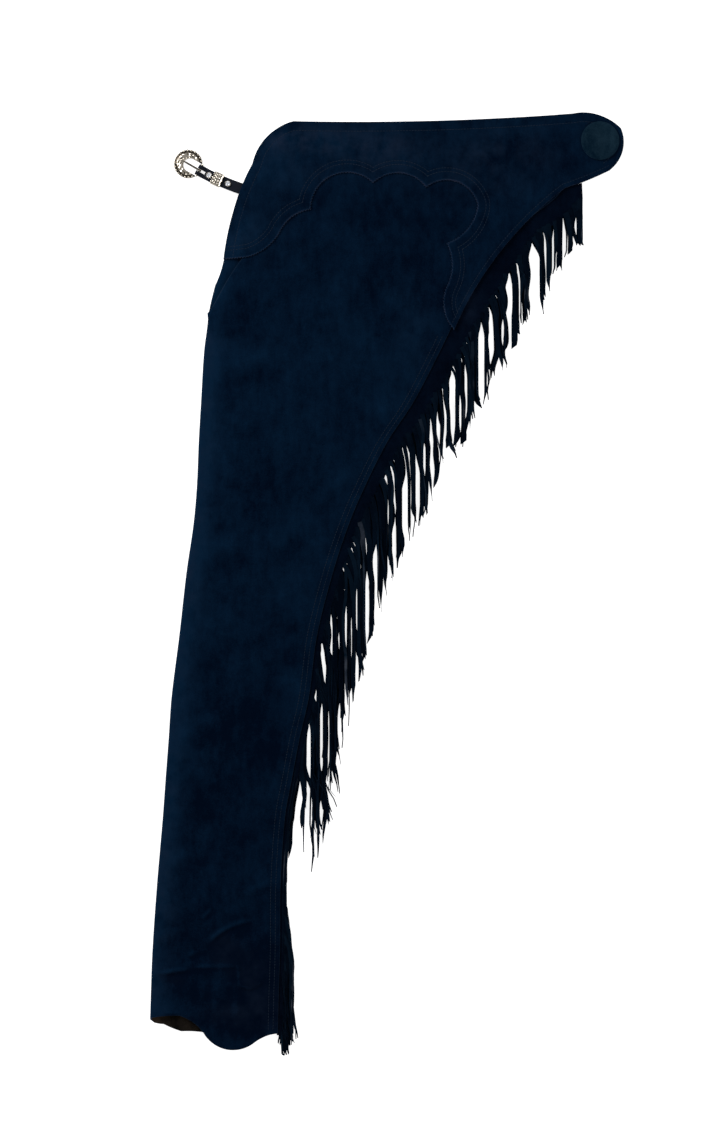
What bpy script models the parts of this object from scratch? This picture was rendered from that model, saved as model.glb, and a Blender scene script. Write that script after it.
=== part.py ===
"""Fringed suede show chaps, folded in half at the centre front and laid flat, near leg on top.

+X runs to the fringed outer seam, +Y to the waist and +Z up off the surface. The origin is on the
surface, under the middle of the outline. Sizes and tables are in millimetres, meshes in metres.
"""

import math

import bmesh
import bpy
from mathutils import Matrix, Vector, geometry

MM = 0.001

# Leather
LEG_LEATHER = 1.6
YOKE_LEATHER = 1.5
STRAP_LEATHER = 1.5
FRINGE_DEPTH = 2.4
ROSETTE_DEPTH = 2.4
GAP = 0.3

# Heights of the pile
FAR_TOP = 4.6
FOLD_RADIUS = 2.2
PUFF = 1.2
BACK_Z = FAR_TOP + GAP + LEG_LEATHER / 2
SEAM_SPREAD = LEG_LEATHER + GAP
YOKE_STEP = LEG_LEATHER / 2 + GAP + YOKE_LEATHER / 2
YOKE_LOW = FAR_TOP + GAP + YOKE_LEATHER / 2
CLOSED_ABOVE = 385
OPENING_HEIGHT = 100

# One row for each section of the leg, from waist to hem: height, inner-leg fold, outer seam
LEG = (
    (534, -203, 196),
    (452, -203, 201),
    (412, -203, 156),
    (376, -203, 124.5),
    (341, -203, 99.5),
    (303, -203.5, 79),
    (265, -208, 60.5),
    (207, -211.5, 30.2),
    (164, -214, 1.7),
    (112, -216.2, -24.5),
    (69, -220, -42.8),
    (14, -228, -61),
    (-58, -236.2, -79.2),
    (-128, -245, -88.4),
    (-173, -248.2, -98.6),
    (-224, -252, -108.3),
    (-265, -255, -115.7),
    (-343, -261.7, -120.8),
    (-417, -266.8, -121.4),
    (-472, -268.8, -123.1),
    (-534, -270.4, -124.3),
)
CROTCH = 309
SEAM_TOP = 450
FRINGE_GAP = 1.0
HEM_AT_SEAM = -512

# Edges made of arcs. A row is x, y and how far the arc to the next row rises to the left of its chord.
# Outlines run anticlockwise, so a positive rise cuts into the leather.
YOKE_SCALLOPS = (
    (-186, 371, -0.5),
    (-158, 373, -4.2),
    (-122, 400, 6),
    (-86, 427, 26),
    (-15.5, 457, 14),
    (45, 452, 17),
    (103.5, 433, 8.5),
    (68, 389.5, 5.5),
    (69.5, 342, -8.5),
)
YOKE_TIP = (77, 290, 13.5)
YOKE_TOP = (
    (203.5, 452, -1),
    (255, 473, -8.5),
    (267.5, 520.5, -7.4),
    (212.5, 536.7, 4),
    (-106, 528, -9.8),
    (-153, 480, -5.2),
)
YOKE_CORNER = (-186, 371, 0)
YOKE_FRONT = ((-186, 371), (-168, 446), (-146, 495), (-126, 520.5))
FRONT_HEM = (
    (-270, -494, 1),
    (-236, -491, 3),
    (-208, -511, -13.5),
    (-150, -521.5, 2),
    (-124.3, -512, 0),
)
BACK_HEM = (
    (-270, -498.5, -0.5),
    (-254, -501.5, -0.5),
    (-234, -509.6, 0.5),
    (-211, -510.4, -6),
    (-124.3, -506, 0),
)
FAR_HEM = (
    (-268, -489, 1),
    (-236, -486, 3),
    (-208, -506, -13.5),
    (-150, -516.5, 2),
    (-125.3, -507, 0),
)
FRONT_RISE = (
    (196, 530, 4),
    (-82, 523.5, -5),
    (-112, 486, 0),
    (-144, 402, 0),
    (-166, 370, -1),
    (-191, 329.5, 0),
    (-200.3, 313, 0),
)
BACK_RISE = (
    (190, 526, 4),
    (-76, 519, -5),
    (-106, 484, 0),
    (-136, 402, 0),
    (-158, 366, -1),
    (-197, 316, 0),
)
# The near leg's ankle folds, each a low ridge with a trough below: x and y of its ends, and its half width
FOLDS = (
    (-260, -441.5, -169, -435, 6),
    (-202, -405, -155.5, -382.5, 6),
    (-169, -455, -140, -447, 6),
)
FOLD_RISE = 0.5
FOLD_DIP = 1.3
ANKLE_LOW = -476
ANKLE_HIGH = -360

CROTCH_CRESCENT = ((-186, 371, 1), (-196, 341.4, 0), (-200.6, 323, 0), (-203.4, 309.5, 0))
FRINGE_REACH = (
    (-112, -537.6, 0),
    (-98, -512, 0),
    (-97, -378, 2),
    (-60, -268, -2),
    (-22, -85, 1),
    (5, -5, -2),
    (60, 111, 0),
    (122, 220, 2),
    (178, 318, 2),
    (226, 393, 1),
    (224, 454, 0),
)
FRINGE_FOOT = (-124, -537.6)

# Edge levels of the hidden layers: inset from the outline, height
FAR_EDGE = ((1.4, 0), (0.3, 0.7), (0, 1.7), (0.9, 2.3), (0.2, 2.9), (0.2, 3.8), (1.2, FAR_TOP))

ROSETTE_CENTRE = (243.5, 506)
ROSETTE_RADIUS = 21.9

# Strap, from the buckle's bar (0) to its end under the yoke
BAR_CENTRE = Vector((-213.7, 473.0, 3.05))
BAR_RADIUS = 1.3
STRAP_WIDTH = 12.7
STRAP_LENGTH = 70
STRAP_SHOWS = 50
STRAP_HEADING = math.radians(-30)
STRAP_TURN = math.radians(0.22)
STRAP_CLIMB = 3.5
STRAP_SPREAD = (STRAP_LEATHER + GAP) / 2
BAR_CLEARANCE = 0.25
LOOP_RADIUS = BAR_RADIUS + BAR_CLEARANCE + STRAP_LEATHER / 2
LOOP_TAPER = 8
SLOT_WIDTH = 3.4
SLOT_LENGTH = 7.5

KEEPER_AT = 23.3
KEEPER_LENGTH = 12
KEEPER_METAL = 1.2
KEEPER_SLACK = 0.9
STUDS_AT = (12.7, 36.5)
STUD_PROFILE = ((0, 0), (3.4, 0), (3.4, 0.8), (2.7, 1.3), (1.6, 2.1), (0, 2.4))

# Buckle, in its own axes: along from the bar, across, and up off its plane
BUCKLE_HEADING = math.radians(150)
BUCKLE_TILT = math.radians(3)
BUCKLE_CENTRE = 14.6
BUCKLE_PROFILE = (
    (0, -1.35), (16.3, -1.35), (16.8, -0.8), (16.8, 0.3), (15.9, 1.1), (14.2, 1.0), (13.2, 1.3),
    (10.5, 1.5), (7.5, 1.3), (5, 0.9), (0, 0.8),
)
BUCKLE_OPENING = (
    (-8, -6.9, 0), (0.8, -6.9, 0), (1.8, -7.5, 0), (11, -7.5, -8.8), (11, 7.5, 0), (1.8, 7.5, 0),
    (0.8, 6.9, 0), (-8, 6.9, 0),
)
BAR_LENGTH = 15.6
PRONG_EYE = BAR_RADIUS + 0.2 + 0.45
PRONG_REACH = ((3, 2.05), (8, 2.35), (14, 2.4), (19, 2.15), (21.8, 2.0))
PRONG_HALF_WIDTH = 1.15
PRONG_HALF_DEPTH = 0.45


def smooth(value):
    """0 below 0, 1 above 1, and a smooth step between."""
    value = min(1.0, max(0.0, value))
    return value * value * (3 - 2 * value)


def clear_scene():
    for old in list(bpy.data.objects):
        bpy.data.objects.remove(old, do_unlink=True)


def painted(name, colour, roughness, metallic=0.0):
    material = bpy.data.materials.new(name)
    material.use_nodes = True
    shader = material.node_tree.nodes["Principled BSDF"]
    shader.inputs["Base Color"].default_value = (*colour, 1.0)
    shader.inputs["Roughness"].default_value = roughness
    shader.inputs["Metallic"].default_value = metallic
    return material


# Outlines


def arc(start, end, rise, spacing):
    """Points on an arc from start up to end, end left out."""
    chord = end - start
    steps = max(1, math.ceil(chord.length / spacing))
    if not rise:
        return [start.lerp(end, step / steps) for step in range(steps)]
    side = Vector((-chord.y, chord.x)).normalized()
    half_turn = 2 * math.atan(2 * rise / chord.length)
    radius = chord.length / (2 * math.sin(half_turn))
    steps = max(steps, math.ceil(abs(half_turn) / math.radians(12)))
    points = []
    for step in range(steps):
        angle = half_turn * (2 * step / steps - 1)
        along = chord.length / 2 + radius * math.sin(angle)
        rise_here = radius * (math.cos(angle) - math.cos(half_turn))
        points.append(start + chord.normalized() * along + side * rise_here)
    return points


def edge(rows, spacing):
    """Points along a row of arcs, with the last row's own point."""
    corners = [Vector(row[:2]) for row in rows]
    points = []
    for start, end, row in zip(corners, corners[1:], rows):
        points += arc(start, end, row[2], spacing)
    return points + corners[-1:]


def leg_at(height):
    """The inner-leg fold and the outer seam at a height, on a smooth curve through the LEG rows."""
    height = min(LEG[0][0], max(LEG[-1][0], height))
    k = next(k for k in range(len(LEG) - 1) if LEG[k + 1][0] <= height)
    low, high = LEG[k + 1], LEG[k]
    below, above = LEG[min(k + 2, len(LEG) - 1)], LEG[max(k - 1, 0)]
    span = high[0] - low[0]
    t = (height - low[0]) / span
    found = []
    for column in (1, 2):
        slope_low = (high[column] - below[column]) / (high[0] - below[0]) * span
        slope_high = (above[column] - low[column]) / (above[0] - low[0]) * span
        found.append(
            low[column] * (1 + 2 * t) * (1 - t) ** 2
            + slope_low * t * (1 - t) ** 2
            + high[column] * t * t * (3 - 2 * t)
            + slope_high * t * t * (t - 1)
        )
    return found


def seam_edge(low, high, outset, spacing):
    """Points up the outer seam, moved out by outset."""
    steps = math.ceil((high - low) / spacing)
    heights = [low + (high - low) * step / steps for step in range(steps + 1)]
    return [Vector((leg_at(y)[1] + outset, y)) for y in heights]


def fold_edge(low, high, inset, spacing):
    """Points down the inner-leg fold, moved in by inset."""
    steps = math.ceil((high - low) / spacing)
    heights = [high - (high - low) * step / steps for step in range(steps + 1)]
    return [Vector((leg_at(y)[0] + inset, y)) for y in heights]


def clear_inside(point, outline, margin):
    """Whether a point is inside the outline and at least margin from it."""
    inside = False
    for a, b in zip(outline, outline[1:] + outline[:1]):
        nearest, t = geometry.intersect_point_line(point, a, b)
        nearest = a if t < 0 else b if t > 1 else nearest
        if (point - nearest.xy).length < margin:
            return False
        if (a.y > point.y) != (b.y > point.y) and point.x < a.x + (b.x - a.x) * (point.y - a.y) / (b.y - a.y):
            inside = not inside
    return inside


def lattice(outline, spacing, columns=None):
    """Points on a square lattice inside the outline, or on the given columns."""
    lows = [min(point[axis] for point in outline) for axis in (0, 1)]
    highs = [max(point[axis] for point in outline) for axis in (0, 1)]
    spans = [range(math.ceil(low / spacing), math.floor(high / spacing) + 1) for low, high in zip(lows, highs)]
    across = columns or [k * spacing for k in spans[0]]
    found = [Vector((x, k * spacing)) for k in spans[1] for x in across]
    return [point for point in found if clear_inside(point, outline, spacing * 0.45)]


# Heights of the cloth


def ankle_folds(x, y):
    """How far the near leg's front rises or dips at its ankle folds."""
    total = 0.0
    for x1, y1, x2, y2, half_width in FOLDS:
        run = Vector((x2 - x1, y2 - y1))
        away = Vector((x - x1, y - y1))
        along = away.dot(run) / run.length_squared
        off = (run.x * away.y - run.y * away.x) / run.length / half_width
        fade = smooth((along + 0.15) / 0.3) * smooth((1.15 - along) / 0.3)
        total += fade * (FOLD_RISE * math.exp(-(off**2)) - FOLD_DIP * math.exp(-((off + 2) ** 2)))
    return total


def spread(x, y):
    """How far the near leg's two layers stand apart, middle to middle."""
    fold, seam = leg_at(y)
    across = min(1.0, max(0.0, (x - fold) / (seam - fold)))
    opening = smooth((CLOSED_ABOVE - y) / OPENING_HEIGHT)
    at_fold = (2 * FOLD_RADIUS - SEAM_SPREAD) * (1 - smooth((across - 0.35) / 0.65))
    return SEAM_SPREAD + opening * (at_fold + PUFF * math.sin(math.pi * across))


def front_z(x, y):
    return BACK_Z + spread(x, y)


def yoke_z(x, y):
    """The yoke lies on the leg, dips to the far side past the leg's edges, and rides over the strap."""
    front_edge = [Vector(row) for row in YOKE_FRONT]
    point = Vector((x, y))
    from_front = min(
        (geometry.intersect_point_line(point, a, b)[0].xy - point).length for a, b in zip(front_edge, front_edge[1:])
    )
    held = smooth(from_front / 17) * smooth((252 - x) / 36)
    strap_end, strap_shows = strap_point(STRAP_LENGTH), strap_point(STRAP_SHOWS)
    on_strap = geometry.intersect_point_line(point, strap_end, strap_shows)[0].xy
    over_strap = (1 - smooth(((on_strap - point).length - 13) / 15)) * (1 - smooth((x - strap_end.x) / 30))
    held = 1 - (1 - held) * (1 - over_strap)
    return YOKE_LOW + (front_z(x, y) + YOKE_STEP - YOKE_LOW) * held


def strap_point(along):
    """The strap's centre line in plan."""
    heading = STRAP_HEADING + STRAP_TURN * max(0.0, along) / 2
    return BAR_CENTRE.xy + Vector((math.cos(heading), math.sin(heading))) * along


def on_strap(along, across, above):
    """A point by its place along and across the strap, and above its middle."""
    heading = STRAP_HEADING + STRAP_TURN * max(0.0, along)
    plan = strap_point(along) + Vector((-math.sin(heading), math.cos(heading))) * across
    climb = STRAP_CLIMB * smooth(along / STRAP_SHOWS)
    return Vector((plan.x, plan.y, BAR_CENTRE.z + climb + above))


# Makers of objects


def new_object(name, mesh_maker, material, parent=None):
    mesh = bpy.data.meshes.new(name)
    mesh_maker.to_mesh(mesh)
    mesh_maker.free()
    mesh.materials.append(material)
    made = bpy.data.objects.new(name, mesh)
    bpy.context.scene.collection.objects.link(made)
    made.parent = parent
    return made


def sheet(name, outline, inner, place, thickness, material):
    """A panel of one thickness: the outline filled with triangles, placed in space and thickened."""
    count = len(outline)
    loop = list(range(count))
    seams = [(k, (k + 1) % count) for k in loop]
    points, _, faces = geometry.delaunay_2d_cdt(outline + inner, seams, [loop], 1, 1e-3)[:3]
    maker = bmesh.new()
    corners = [maker.verts.new(place(*point) * MM) for point in points]
    for face in faces:
        maker.faces.new([corners[k] for k in face])
    panel = new_object(name, maker, material)
    thicken = panel.modifiers.new("Leather", "SOLIDIFY")
    thicken.thickness = thickness * MM
    thicken.offset = 0
    thicken.use_even_offset = True
    panel.data.shade_smooth()
    panel.data.set_sharp_from_angle(angle=math.radians(40))
    return panel


def skin(name, rings, closed, material, parent=None):
    """A solid through rings of points, capped at its ends unless it is closed."""
    maker = bmesh.new()
    loops = [[maker.verts.new(point * MM) for point in ring] for ring in rings]
    pairs = list(zip(loops, loops[1:] + (loops[:1] if closed else [])))
    for first, second in pairs:
        for k, start in enumerate(first):
            after = (k + 1) % len(first)
            maker.faces.new((start, first[after], second[after], second[k]))
    if not closed:
        maker.faces.new(loops[0])
        maker.faces.new(loops[-1])
    bmesh.ops.recalc_face_normals(maker, faces=maker.faces)
    made = new_object(name, maker, material, parent)
    made.data.shade_smooth()
    made.data.set_sharp_from_angle(angle=math.radians(40))
    return made


def turned(name, profile, centre, place, material, sides, parent=None):
    """A solid turned about the upright through centre. The profile starts and ends on that upright."""
    maker = bmesh.new()
    foot, top = (maker.verts.new(place(*centre, height) * MM) for height in (profile[0][1], profile[-1][1]))
    turns = [2 * math.pi * k / sides for k in range(sides)]
    loops = [
        [maker.verts.new(place(centre[0] + r * math.cos(t), centre[1] + r * math.sin(t), z) * MM) for t in turns]
        for r, z in profile[1:-1]
    ]
    for first, second in zip(loops, loops[1:]):
        for k, start in enumerate(first):
            after = (k + 1) % sides
            maker.faces.new((start, first[after], second[after], second[k]))
    for k in range(sides):
        after = (k + 1) % sides
        maker.faces.new((foot, loops[0][after], loops[0][k]))
        maker.faces.new((top, loops[-1][k], loops[-1][after]))
    bmesh.ops.recalc_face_normals(maker, faces=maker.faces)
    made = new_object(name, maker, material, parent)
    made.data.shade_smooth()
    made.data.set_sharp_from_angle(angle=math.radians(40))
    return made


def prism(name, outline, low, high, place, parent=None):
    """A hidden cutter: an outline between two heights."""
    rings = [[place(*point, height) for point in outline] for height in (low, high)]
    cutter = skin(name, rings, False, bpy.data.materials["metal"], parent)
    cutter.hide_render = True
    cutter.display_type = "WIRE"
    return cutter


def cut_or_join(target, operation, other):
    change = target.modifiers.new(other.name, "BOOLEAN")
    change.operation = operation
    change.solver = "EXACT"
    change.object = other


def swept(name, path, half_widths, half_depth, sides, place, closed, material, parent=None):
    """A strip of elliptical or four-sided section swept along a path in one upright plane."""
    rings = []
    count = len(path)
    for k, (along, above) in enumerate(path):
        before = path[k - 1] if closed or k else path[k]
        after = path[(k + 1) % count] if closed or k < count - 1 else path[k]
        run = Vector((after[0] - before[0], after[1] - before[1])).normalized()
        ring = []
        for side in range(sides):
            turn = 2 * math.pi * (side + 0.5) / sides
            stretch = math.sqrt(2) if sides == 4 else 1.0
            across = half_widths[k] * stretch * math.cos(turn)
            out = half_depth * stretch * math.sin(turn)
            ring.append(place(along - run.y * out, across, above + run.x * out))
        rings.append(ring)
    return skin(name, rings, closed, material, parent)


# The pieces


def unrolled(rows, side, spacing):
    """Arcs given where they lie, as points of the unrolled leg panel: its front is +1, its back is -1."""
    quarter = math.pi * FOLD_RADIUS / 2
    start = LEG_LEATHER / 2 + FOLD_RADIUS
    return [Vector((side * (p.x - leg_at(p.y)[0] - start + quarter), p.y)) for p in edge(rows, spacing)]


def unrolled_seam(side, low, high, spacing):
    rows = [(*point, 0) for point in seam_edge(low, high, 0, spacing)]
    return unrolled(rows, side, spacing)


def folded(across, y):
    """A point of the unrolled leg panel, folded round the inner leg."""
    quarter = math.pi * FOLD_RADIUS / 2
    from_fold = abs(across)
    turn = min(from_fold, quarter) / FOLD_RADIUS
    x = leg_at(y)[0] + LEG_LEATHER / 2 + FOLD_RADIUS * (1 - math.cos(turn)) + max(0.0, from_fold - quarter)
    rise = (1 + math.copysign(math.sin(turn), across)) / 2
    folds = ankle_folds(x, y) if across > quarter else 0.0
    return Vector((x, y, BACK_Z + spread(x, y) * rise + folds))


def near_leg(suede):
    spacing = 26
    front = unrolled(FRONT_HEM, 1, 9)[1:-1] + unrolled_seam(1, HEM_AT_SEAM, SEAM_TOP, spacing)
    front += unrolled(FRONT_RISE, 1, spacing)
    back = unrolled(BACK_HEM, -1, 18)[1:-1] + unrolled_seam(-1, BACK_HEM[-1][1], SEAM_TOP, spacing)
    back += unrolled(BACK_RISE, -1, spacing)
    outline = [Vector((0, FRONT_HEM[0][1] - 2))] + front + [Vector((0, CROTCH))] + back[::-1]
    quarter = math.pi * FOLD_RADIUS / 2
    near_fold = [quarter * k / 2 for k in (-2, -1, 0, 1, 2)]
    columns = near_fold + [side * spacing * k for side in (-1, 1) for k in range(1, 17)]
    roomy = lattice(outline, spacing, [c for c in columns if abs(c) > quarter])
    roomy = [p for p in roomy if p.x < 0 or not ANKLE_LOW - 6 < p.y < ANKLE_HIGH + 6]
    ankle = [p for p in lattice(outline, 12) if p.x > quarter + 4 and ANKLE_LOW < p.y < ANKLE_HIGH]
    tight = [Vector((c, y)) for y in range(-486, 300, 26) for c in near_fold]
    return sheet("near_leg", outline, roomy + ankle + tight, folded, LEG_LEATHER, suede)


def yoke(suede):
    rows = YOKE_SCALLOPS + (YOKE_TIP,) + YOKE_TOP
    outline = edge(rows + (YOKE_CORNER,), 12)[:-1]
    inner = lattice(outline, 12)
    return sheet("yoke", outline, inner, lambda x, y: Vector((x, y, yoke_z(x, y))), YOKE_LEATHER, suede)


def rosette(suede):
    middle = Vector(ROSETTE_CENTRE)
    turns = [2 * math.pi * k / 32 for k in range(32)]
    outline = [middle + Vector((math.cos(t), math.sin(t))) * ROSETTE_RADIUS for t in turns]
    lift = YOKE_LEATHER / 2 + GAP + ROSETTE_DEPTH / 2
    inner = lattice(outline, 9)
    return sheet("rosette", outline, inner, lambda x, y: Vector((x, y, yoke_z(x, y) + lift)), ROSETTE_DEPTH, suede)


def far_outline():
    outline = edge(FAR_HEM, 9)[:-1] + seam_edge(FAR_HEM[-1][1], SEAM_TOP, -0.8, 26)
    outline += edge(YOKE_TOP + (YOKE_CORNER,), 14)[:-1]
    outline += edge(CROTCH_CRESCENT, 12)[:-1]
    return outline + fold_edge(FAR_HEM[0][1] + 10, CROTCH - 24, 1.5, 26)


def far_leg(suede):
    """The hidden layers: a rounded slab with a flat underside and two lips round its edge."""
    outline = far_outline()
    inward = []
    for before, point, after in zip(outline[-1:] + outline[:-1], outline, outline[1:] + outline[:1]):
        run = (point - before).normalized() + (after - point).normalized()
        inward.append(Vector((-run.y, run.x)).normalized())
    rings = []
    for inset, height in FAR_EDGE:
        rings.append([(point + way * inset).to_3d() + Vector((0, 0, height)) for point, way in zip(outline, inward)])
    return skin("far_leg", rings, False, suede)


def fringe_outline(inset):
    """The fringe's reach, from its foot up its tips and back down the seam."""
    tips = edge(FRINGE_REACH, 24)
    tips = [Vector((max(p.x - inset, leg_at(p.y)[1] + 8), p.y + inset)) for p in tips[:-1]] + tips[-1:]
    foot = Vector(FRINGE_FOOT) + Vector((0, inset))
    seam = seam_edge(HEM_AT_SEAM - 4, SEAM_TOP - 3, FRINGE_GAP, 24)
    return [foot] + tips + seam[::-1]


def near_fringe(suede):
    def lie(x, y):
        past_seam = x - leg_at(y)[1]
        return Vector((x, y, 6.6 - 2.6 * smooth(past_seam / 30)))

    outline = fringe_outline(0)
    return sheet("near_fringe", outline, lattice(outline, 24), lie, FRINGE_DEPTH, suede)


def far_fringe(suede):
    def lie(x, y):
        past_seam = x - leg_at(y)[1]
        return Vector((x, y, FRINGE_DEPTH / 2 + 1.1 * (1 - smooth(past_seam / 20))))

    outline = fringe_outline(3)
    return sheet("far_fringe", outline, lattice(outline, 24), lie, FRINGE_DEPTH, suede)


def strap(suede):
    """One length folded double round the buckle's bar, with a slot for the prong in the fold."""
    straight = STRAP_LENGTH - LOOP_TAPER
    stations = [STRAP_LENGTH - straight * k / 9 for k in range(10)] + [LOOP_TAPER * k / 3 for k in (2, 1)]
    layer = [(s, STRAP_SPREAD + (LOOP_RADIUS - STRAP_SPREAD) * (1 - smooth(s / LOOP_TAPER))) for s in stations]
    turns = [math.radians(-90 + 18 * k) for k in range(11)]
    loop = [(-LOOP_RADIUS * math.cos(t), LOOP_RADIUS * math.sin(t)) for t in turns]
    path = [(s, -above) for s, above in layer] + loop + layer[::-1]
    half_widths = [STRAP_WIDTH / 2] * len(path)
    made = swept("strap", path, half_widths, STRAP_LEATHER / 2, 4, on_strap, False, suede)
    half = SLOT_WIDTH / 2
    corners = [Vector(corner) for corner in ((-6, -half), (SLOT_LENGTH, -half), (SLOT_LENGTH, half), (-6, half))]
    cut_or_join(made, "DIFFERENCE", prism("prong_slot", corners, -6, 6, on_strap))
    return made


def keeper(metal):
    """A flat ring of metal round the strap, with slack above it for a second strap."""
    half_width = STRAP_WIDTH / 2 + GAP + KEEPER_METAL / 2
    low = -STRAP_SPREAD - STRAP_LEATHER / 2 - GAP - KEEPER_METAL / 2
    high = -low + KEEPER_SLACK
    corner = 1.4
    path = []
    for turn, (x, z) in enumerate(
        ((half_width, low), (half_width, high), (-half_width, high), (-half_width, low))
    ):
        centre = (math.copysign(half_width - corner, x), z + (corner if z == low else -corner))
        for step in range(4):
            angle = math.radians(-90 + 90 * turn + 30 * step)
            path.append((centre[0] + corner * math.cos(angle), centre[1] + corner * math.sin(angle)))
    half_lengths = [KEEPER_LENGTH / 2] * len(path)

    def place(across, along, above):
        return on_strap(KEEPER_AT + along, across, above)

    return swept("keeper", path, half_lengths, KEEPER_METAL / 2, 4, place, True, metal)


def stud(name, along, crystal):
    lift = STRAP_SPREAD + STRAP_LEATHER / 2 + GAP

    def place(s, across, above):
        return on_strap(s, across, above + lift)

    return turned(name, STUD_PROFILE, (along, 0), place, crystal, 20)


def buckle_axes():
    """The axis of the buckle and its prong, along the bar."""
    axes = bpy.data.objects.new("buckle_axis", None)
    bpy.context.scene.collection.objects.link(axes)
    turn = Matrix.Rotation(BUCKLE_HEADING, 4, "Z") @ Matrix.Rotation(BUCKLE_TILT, 4, "Y")
    axes.matrix_world = Matrix.Translation(BAR_CENTRE * MM) @ turn
    return axes


def local(along, across, above):
    return Vector((along, across, above))


def buckle_frame(metal, axes):
    """A domed round frame with a D-shaped opening and a heel bar."""
    made = turned("buckle_frame", BUCKLE_PROFILE, (BUCKLE_CENTRE, 0), local, metal, 48, axes)
    outline = edge(BUCKLE_OPENING, 40)
    cut_or_join(made, "DIFFERENCE", prism("buckle_opening", outline, -4, 4, local, axes))
    turns = [2 * math.pi * k / 16 for k in range(16)]
    ends = [
        [Vector((BAR_RADIUS * math.cos(t), across, BAR_RADIUS * math.sin(t))) for t in turns]
        for across in (-BAR_LENGTH / 2, BAR_LENGTH / 2)
    ]
    bar = skin("heel_bar", ends, False, metal, axes)
    bar.hide_render = True
    bar.display_type = "WIRE"
    cut_or_join(made, "UNION", bar)
    return made


def buckle_prong(metal, axes):
    """A tapered prong whose eye wraps the heel bar."""
    turns = [math.radians(-50 - 22 * k) for k in range(11)]
    path = [(PRONG_EYE * math.cos(t), PRONG_EYE * math.sin(t)) for t in turns] + list(PRONG_REACH)
    half_widths = [PRONG_HALF_WIDTH] * (len(path) - 3) + [1.05, 0.9, 0.6]
    return swept("buckle_prong", path, half_widths, PRONG_HALF_DEPTH, 8, local, False, metal, axes)


def main():
    clear_scene()
    suede = painted("suede", (0.006, 0.013, 0.03), 0.9)
    fringe_suede = painted("fringe_suede", (0.004, 0.008, 0.018), 0.9)
    metal = painted("metal", (0.72, 0.69, 0.62), 0.3, 1.0)
    crystal = painted("crystal", (0.9, 0.92, 0.95), 0.1)
    far_leg(suede)
    far_fringe(fringe_suede)
    near_leg(suede)
    near_fringe(fringe_suede)
    yoke(suede)
    rosette(suede)
    strap(suede)
    keeper(metal)
    for number, along in enumerate(STUDS_AT, 1):
        stud(f"stud_{number}", along, crystal)
    axes = buckle_axes()
    buckle_frame(metal, axes)
    buckle_prong(metal, axes)


main()
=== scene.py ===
"""The looks of the folded suede chaps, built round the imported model.

Sizes and tables are in millimetres, meshes in metres. +X runs to the fringed seam, +Y to the waist
and +Z up off the surface that the chaps lie on.
"""

import math

import bmesh
import bpy
import numpy as np
from mathutils import Matrix, Vector, geometry, noise


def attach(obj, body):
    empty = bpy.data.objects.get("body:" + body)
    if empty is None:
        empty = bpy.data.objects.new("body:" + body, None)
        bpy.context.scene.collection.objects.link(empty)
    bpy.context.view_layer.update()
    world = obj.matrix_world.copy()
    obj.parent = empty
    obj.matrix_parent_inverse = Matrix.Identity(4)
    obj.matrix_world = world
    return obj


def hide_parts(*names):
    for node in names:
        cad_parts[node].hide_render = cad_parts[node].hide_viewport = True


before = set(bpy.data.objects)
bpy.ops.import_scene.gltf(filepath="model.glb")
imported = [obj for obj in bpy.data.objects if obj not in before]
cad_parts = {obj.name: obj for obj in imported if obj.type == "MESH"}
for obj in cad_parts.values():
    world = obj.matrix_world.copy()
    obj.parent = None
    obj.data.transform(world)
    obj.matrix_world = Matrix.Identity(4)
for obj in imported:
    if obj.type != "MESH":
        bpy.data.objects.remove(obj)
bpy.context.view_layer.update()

MM = 0.001

# The form, as the solids have it

LEG_LEATHER = 1.6
YOKE_LEATHER = 1.5
STRAP_LEATHER = 1.5
STRAND_LEATHER = 1.1
GAP = 0.3

FAR_TOP = 4.6
FOLD_RADIUS = 2.2
PUFF = 1.2
BACK_Z = FAR_TOP + GAP + LEG_LEATHER / 2
SEAM_SPREAD = LEG_LEATHER + GAP
YOKE_STEP = LEG_LEATHER / 2 + GAP + YOKE_LEATHER / 2
YOKE_LOW = FAR_TOP + GAP + YOKE_LEATHER / 2
CLOSED_ABOVE = 385
OPENING_HEIGHT = 100

# One row for each section of the leg, from waist to hem: height, inner-leg fold, outer seam
LEG = (
    (534, -203, 196),
    (452, -203, 201),
    (412, -203, 156),
    (376, -203, 124.5),
    (341, -203, 99.5),
    (303, -203.5, 79),
    (265, -208, 60.5),
    (207, -211.5, 30.2),
    (164, -214, 1.7),
    (112, -216.2, -24.5),
    (69, -220, -42.8),
    (14, -228, -61),
    (-58, -236.2, -79.2),
    (-128, -245, -88.4),
    (-173, -248.2, -98.6),
    (-224, -252, -108.3),
    (-265, -255, -115.7),
    (-343, -261.7, -120.8),
    (-417, -266.8, -121.4),
    (-472, -268.8, -123.1),
    (-534, -270.4, -124.3),
)
CROTCH = 309
SEAM_TOP = 450
HEM_AT_SEAM = -512

# Edges made of arcs. A row is x, y and how far the arc to the next row rises to the left of its chord.
YOKE_SCALLOPS = (
    (-186, 371, -0.5),
    (-158, 373, -4.2),
    (-122, 400, 6),
    (-86, 427, 26),
    (-15.5, 457, 14),
    (45, 452, 17),
    (103.5, 433, 8.5),
    (68, 389.5, 5.5),
    (69.5, 342, -8.5),
    (77, 290, 0),
)
YOKE_OUTER = (
    (77, 290, 13.5),
    (203.5, 452, -1),
    (255, 473, -8.5),
    (267.5, 520.5, -7.4),
    (212.5, 536.7, 4),
    (-106, 528, -9.8),
    (-153, 480, -5.2),
    (-186, 371, 0),
)
YOKE_FRONT = ((-186, 371), (-168, 446), (-146, 495), (-126, 520.5))
FRONT_HEM = (
    (-270, -494, 1),
    (-236, -491, 3),
    (-208, -511, -13.5),
    (-150, -521.5, 2),
    (-124.3, -512, 0),
)
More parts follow.
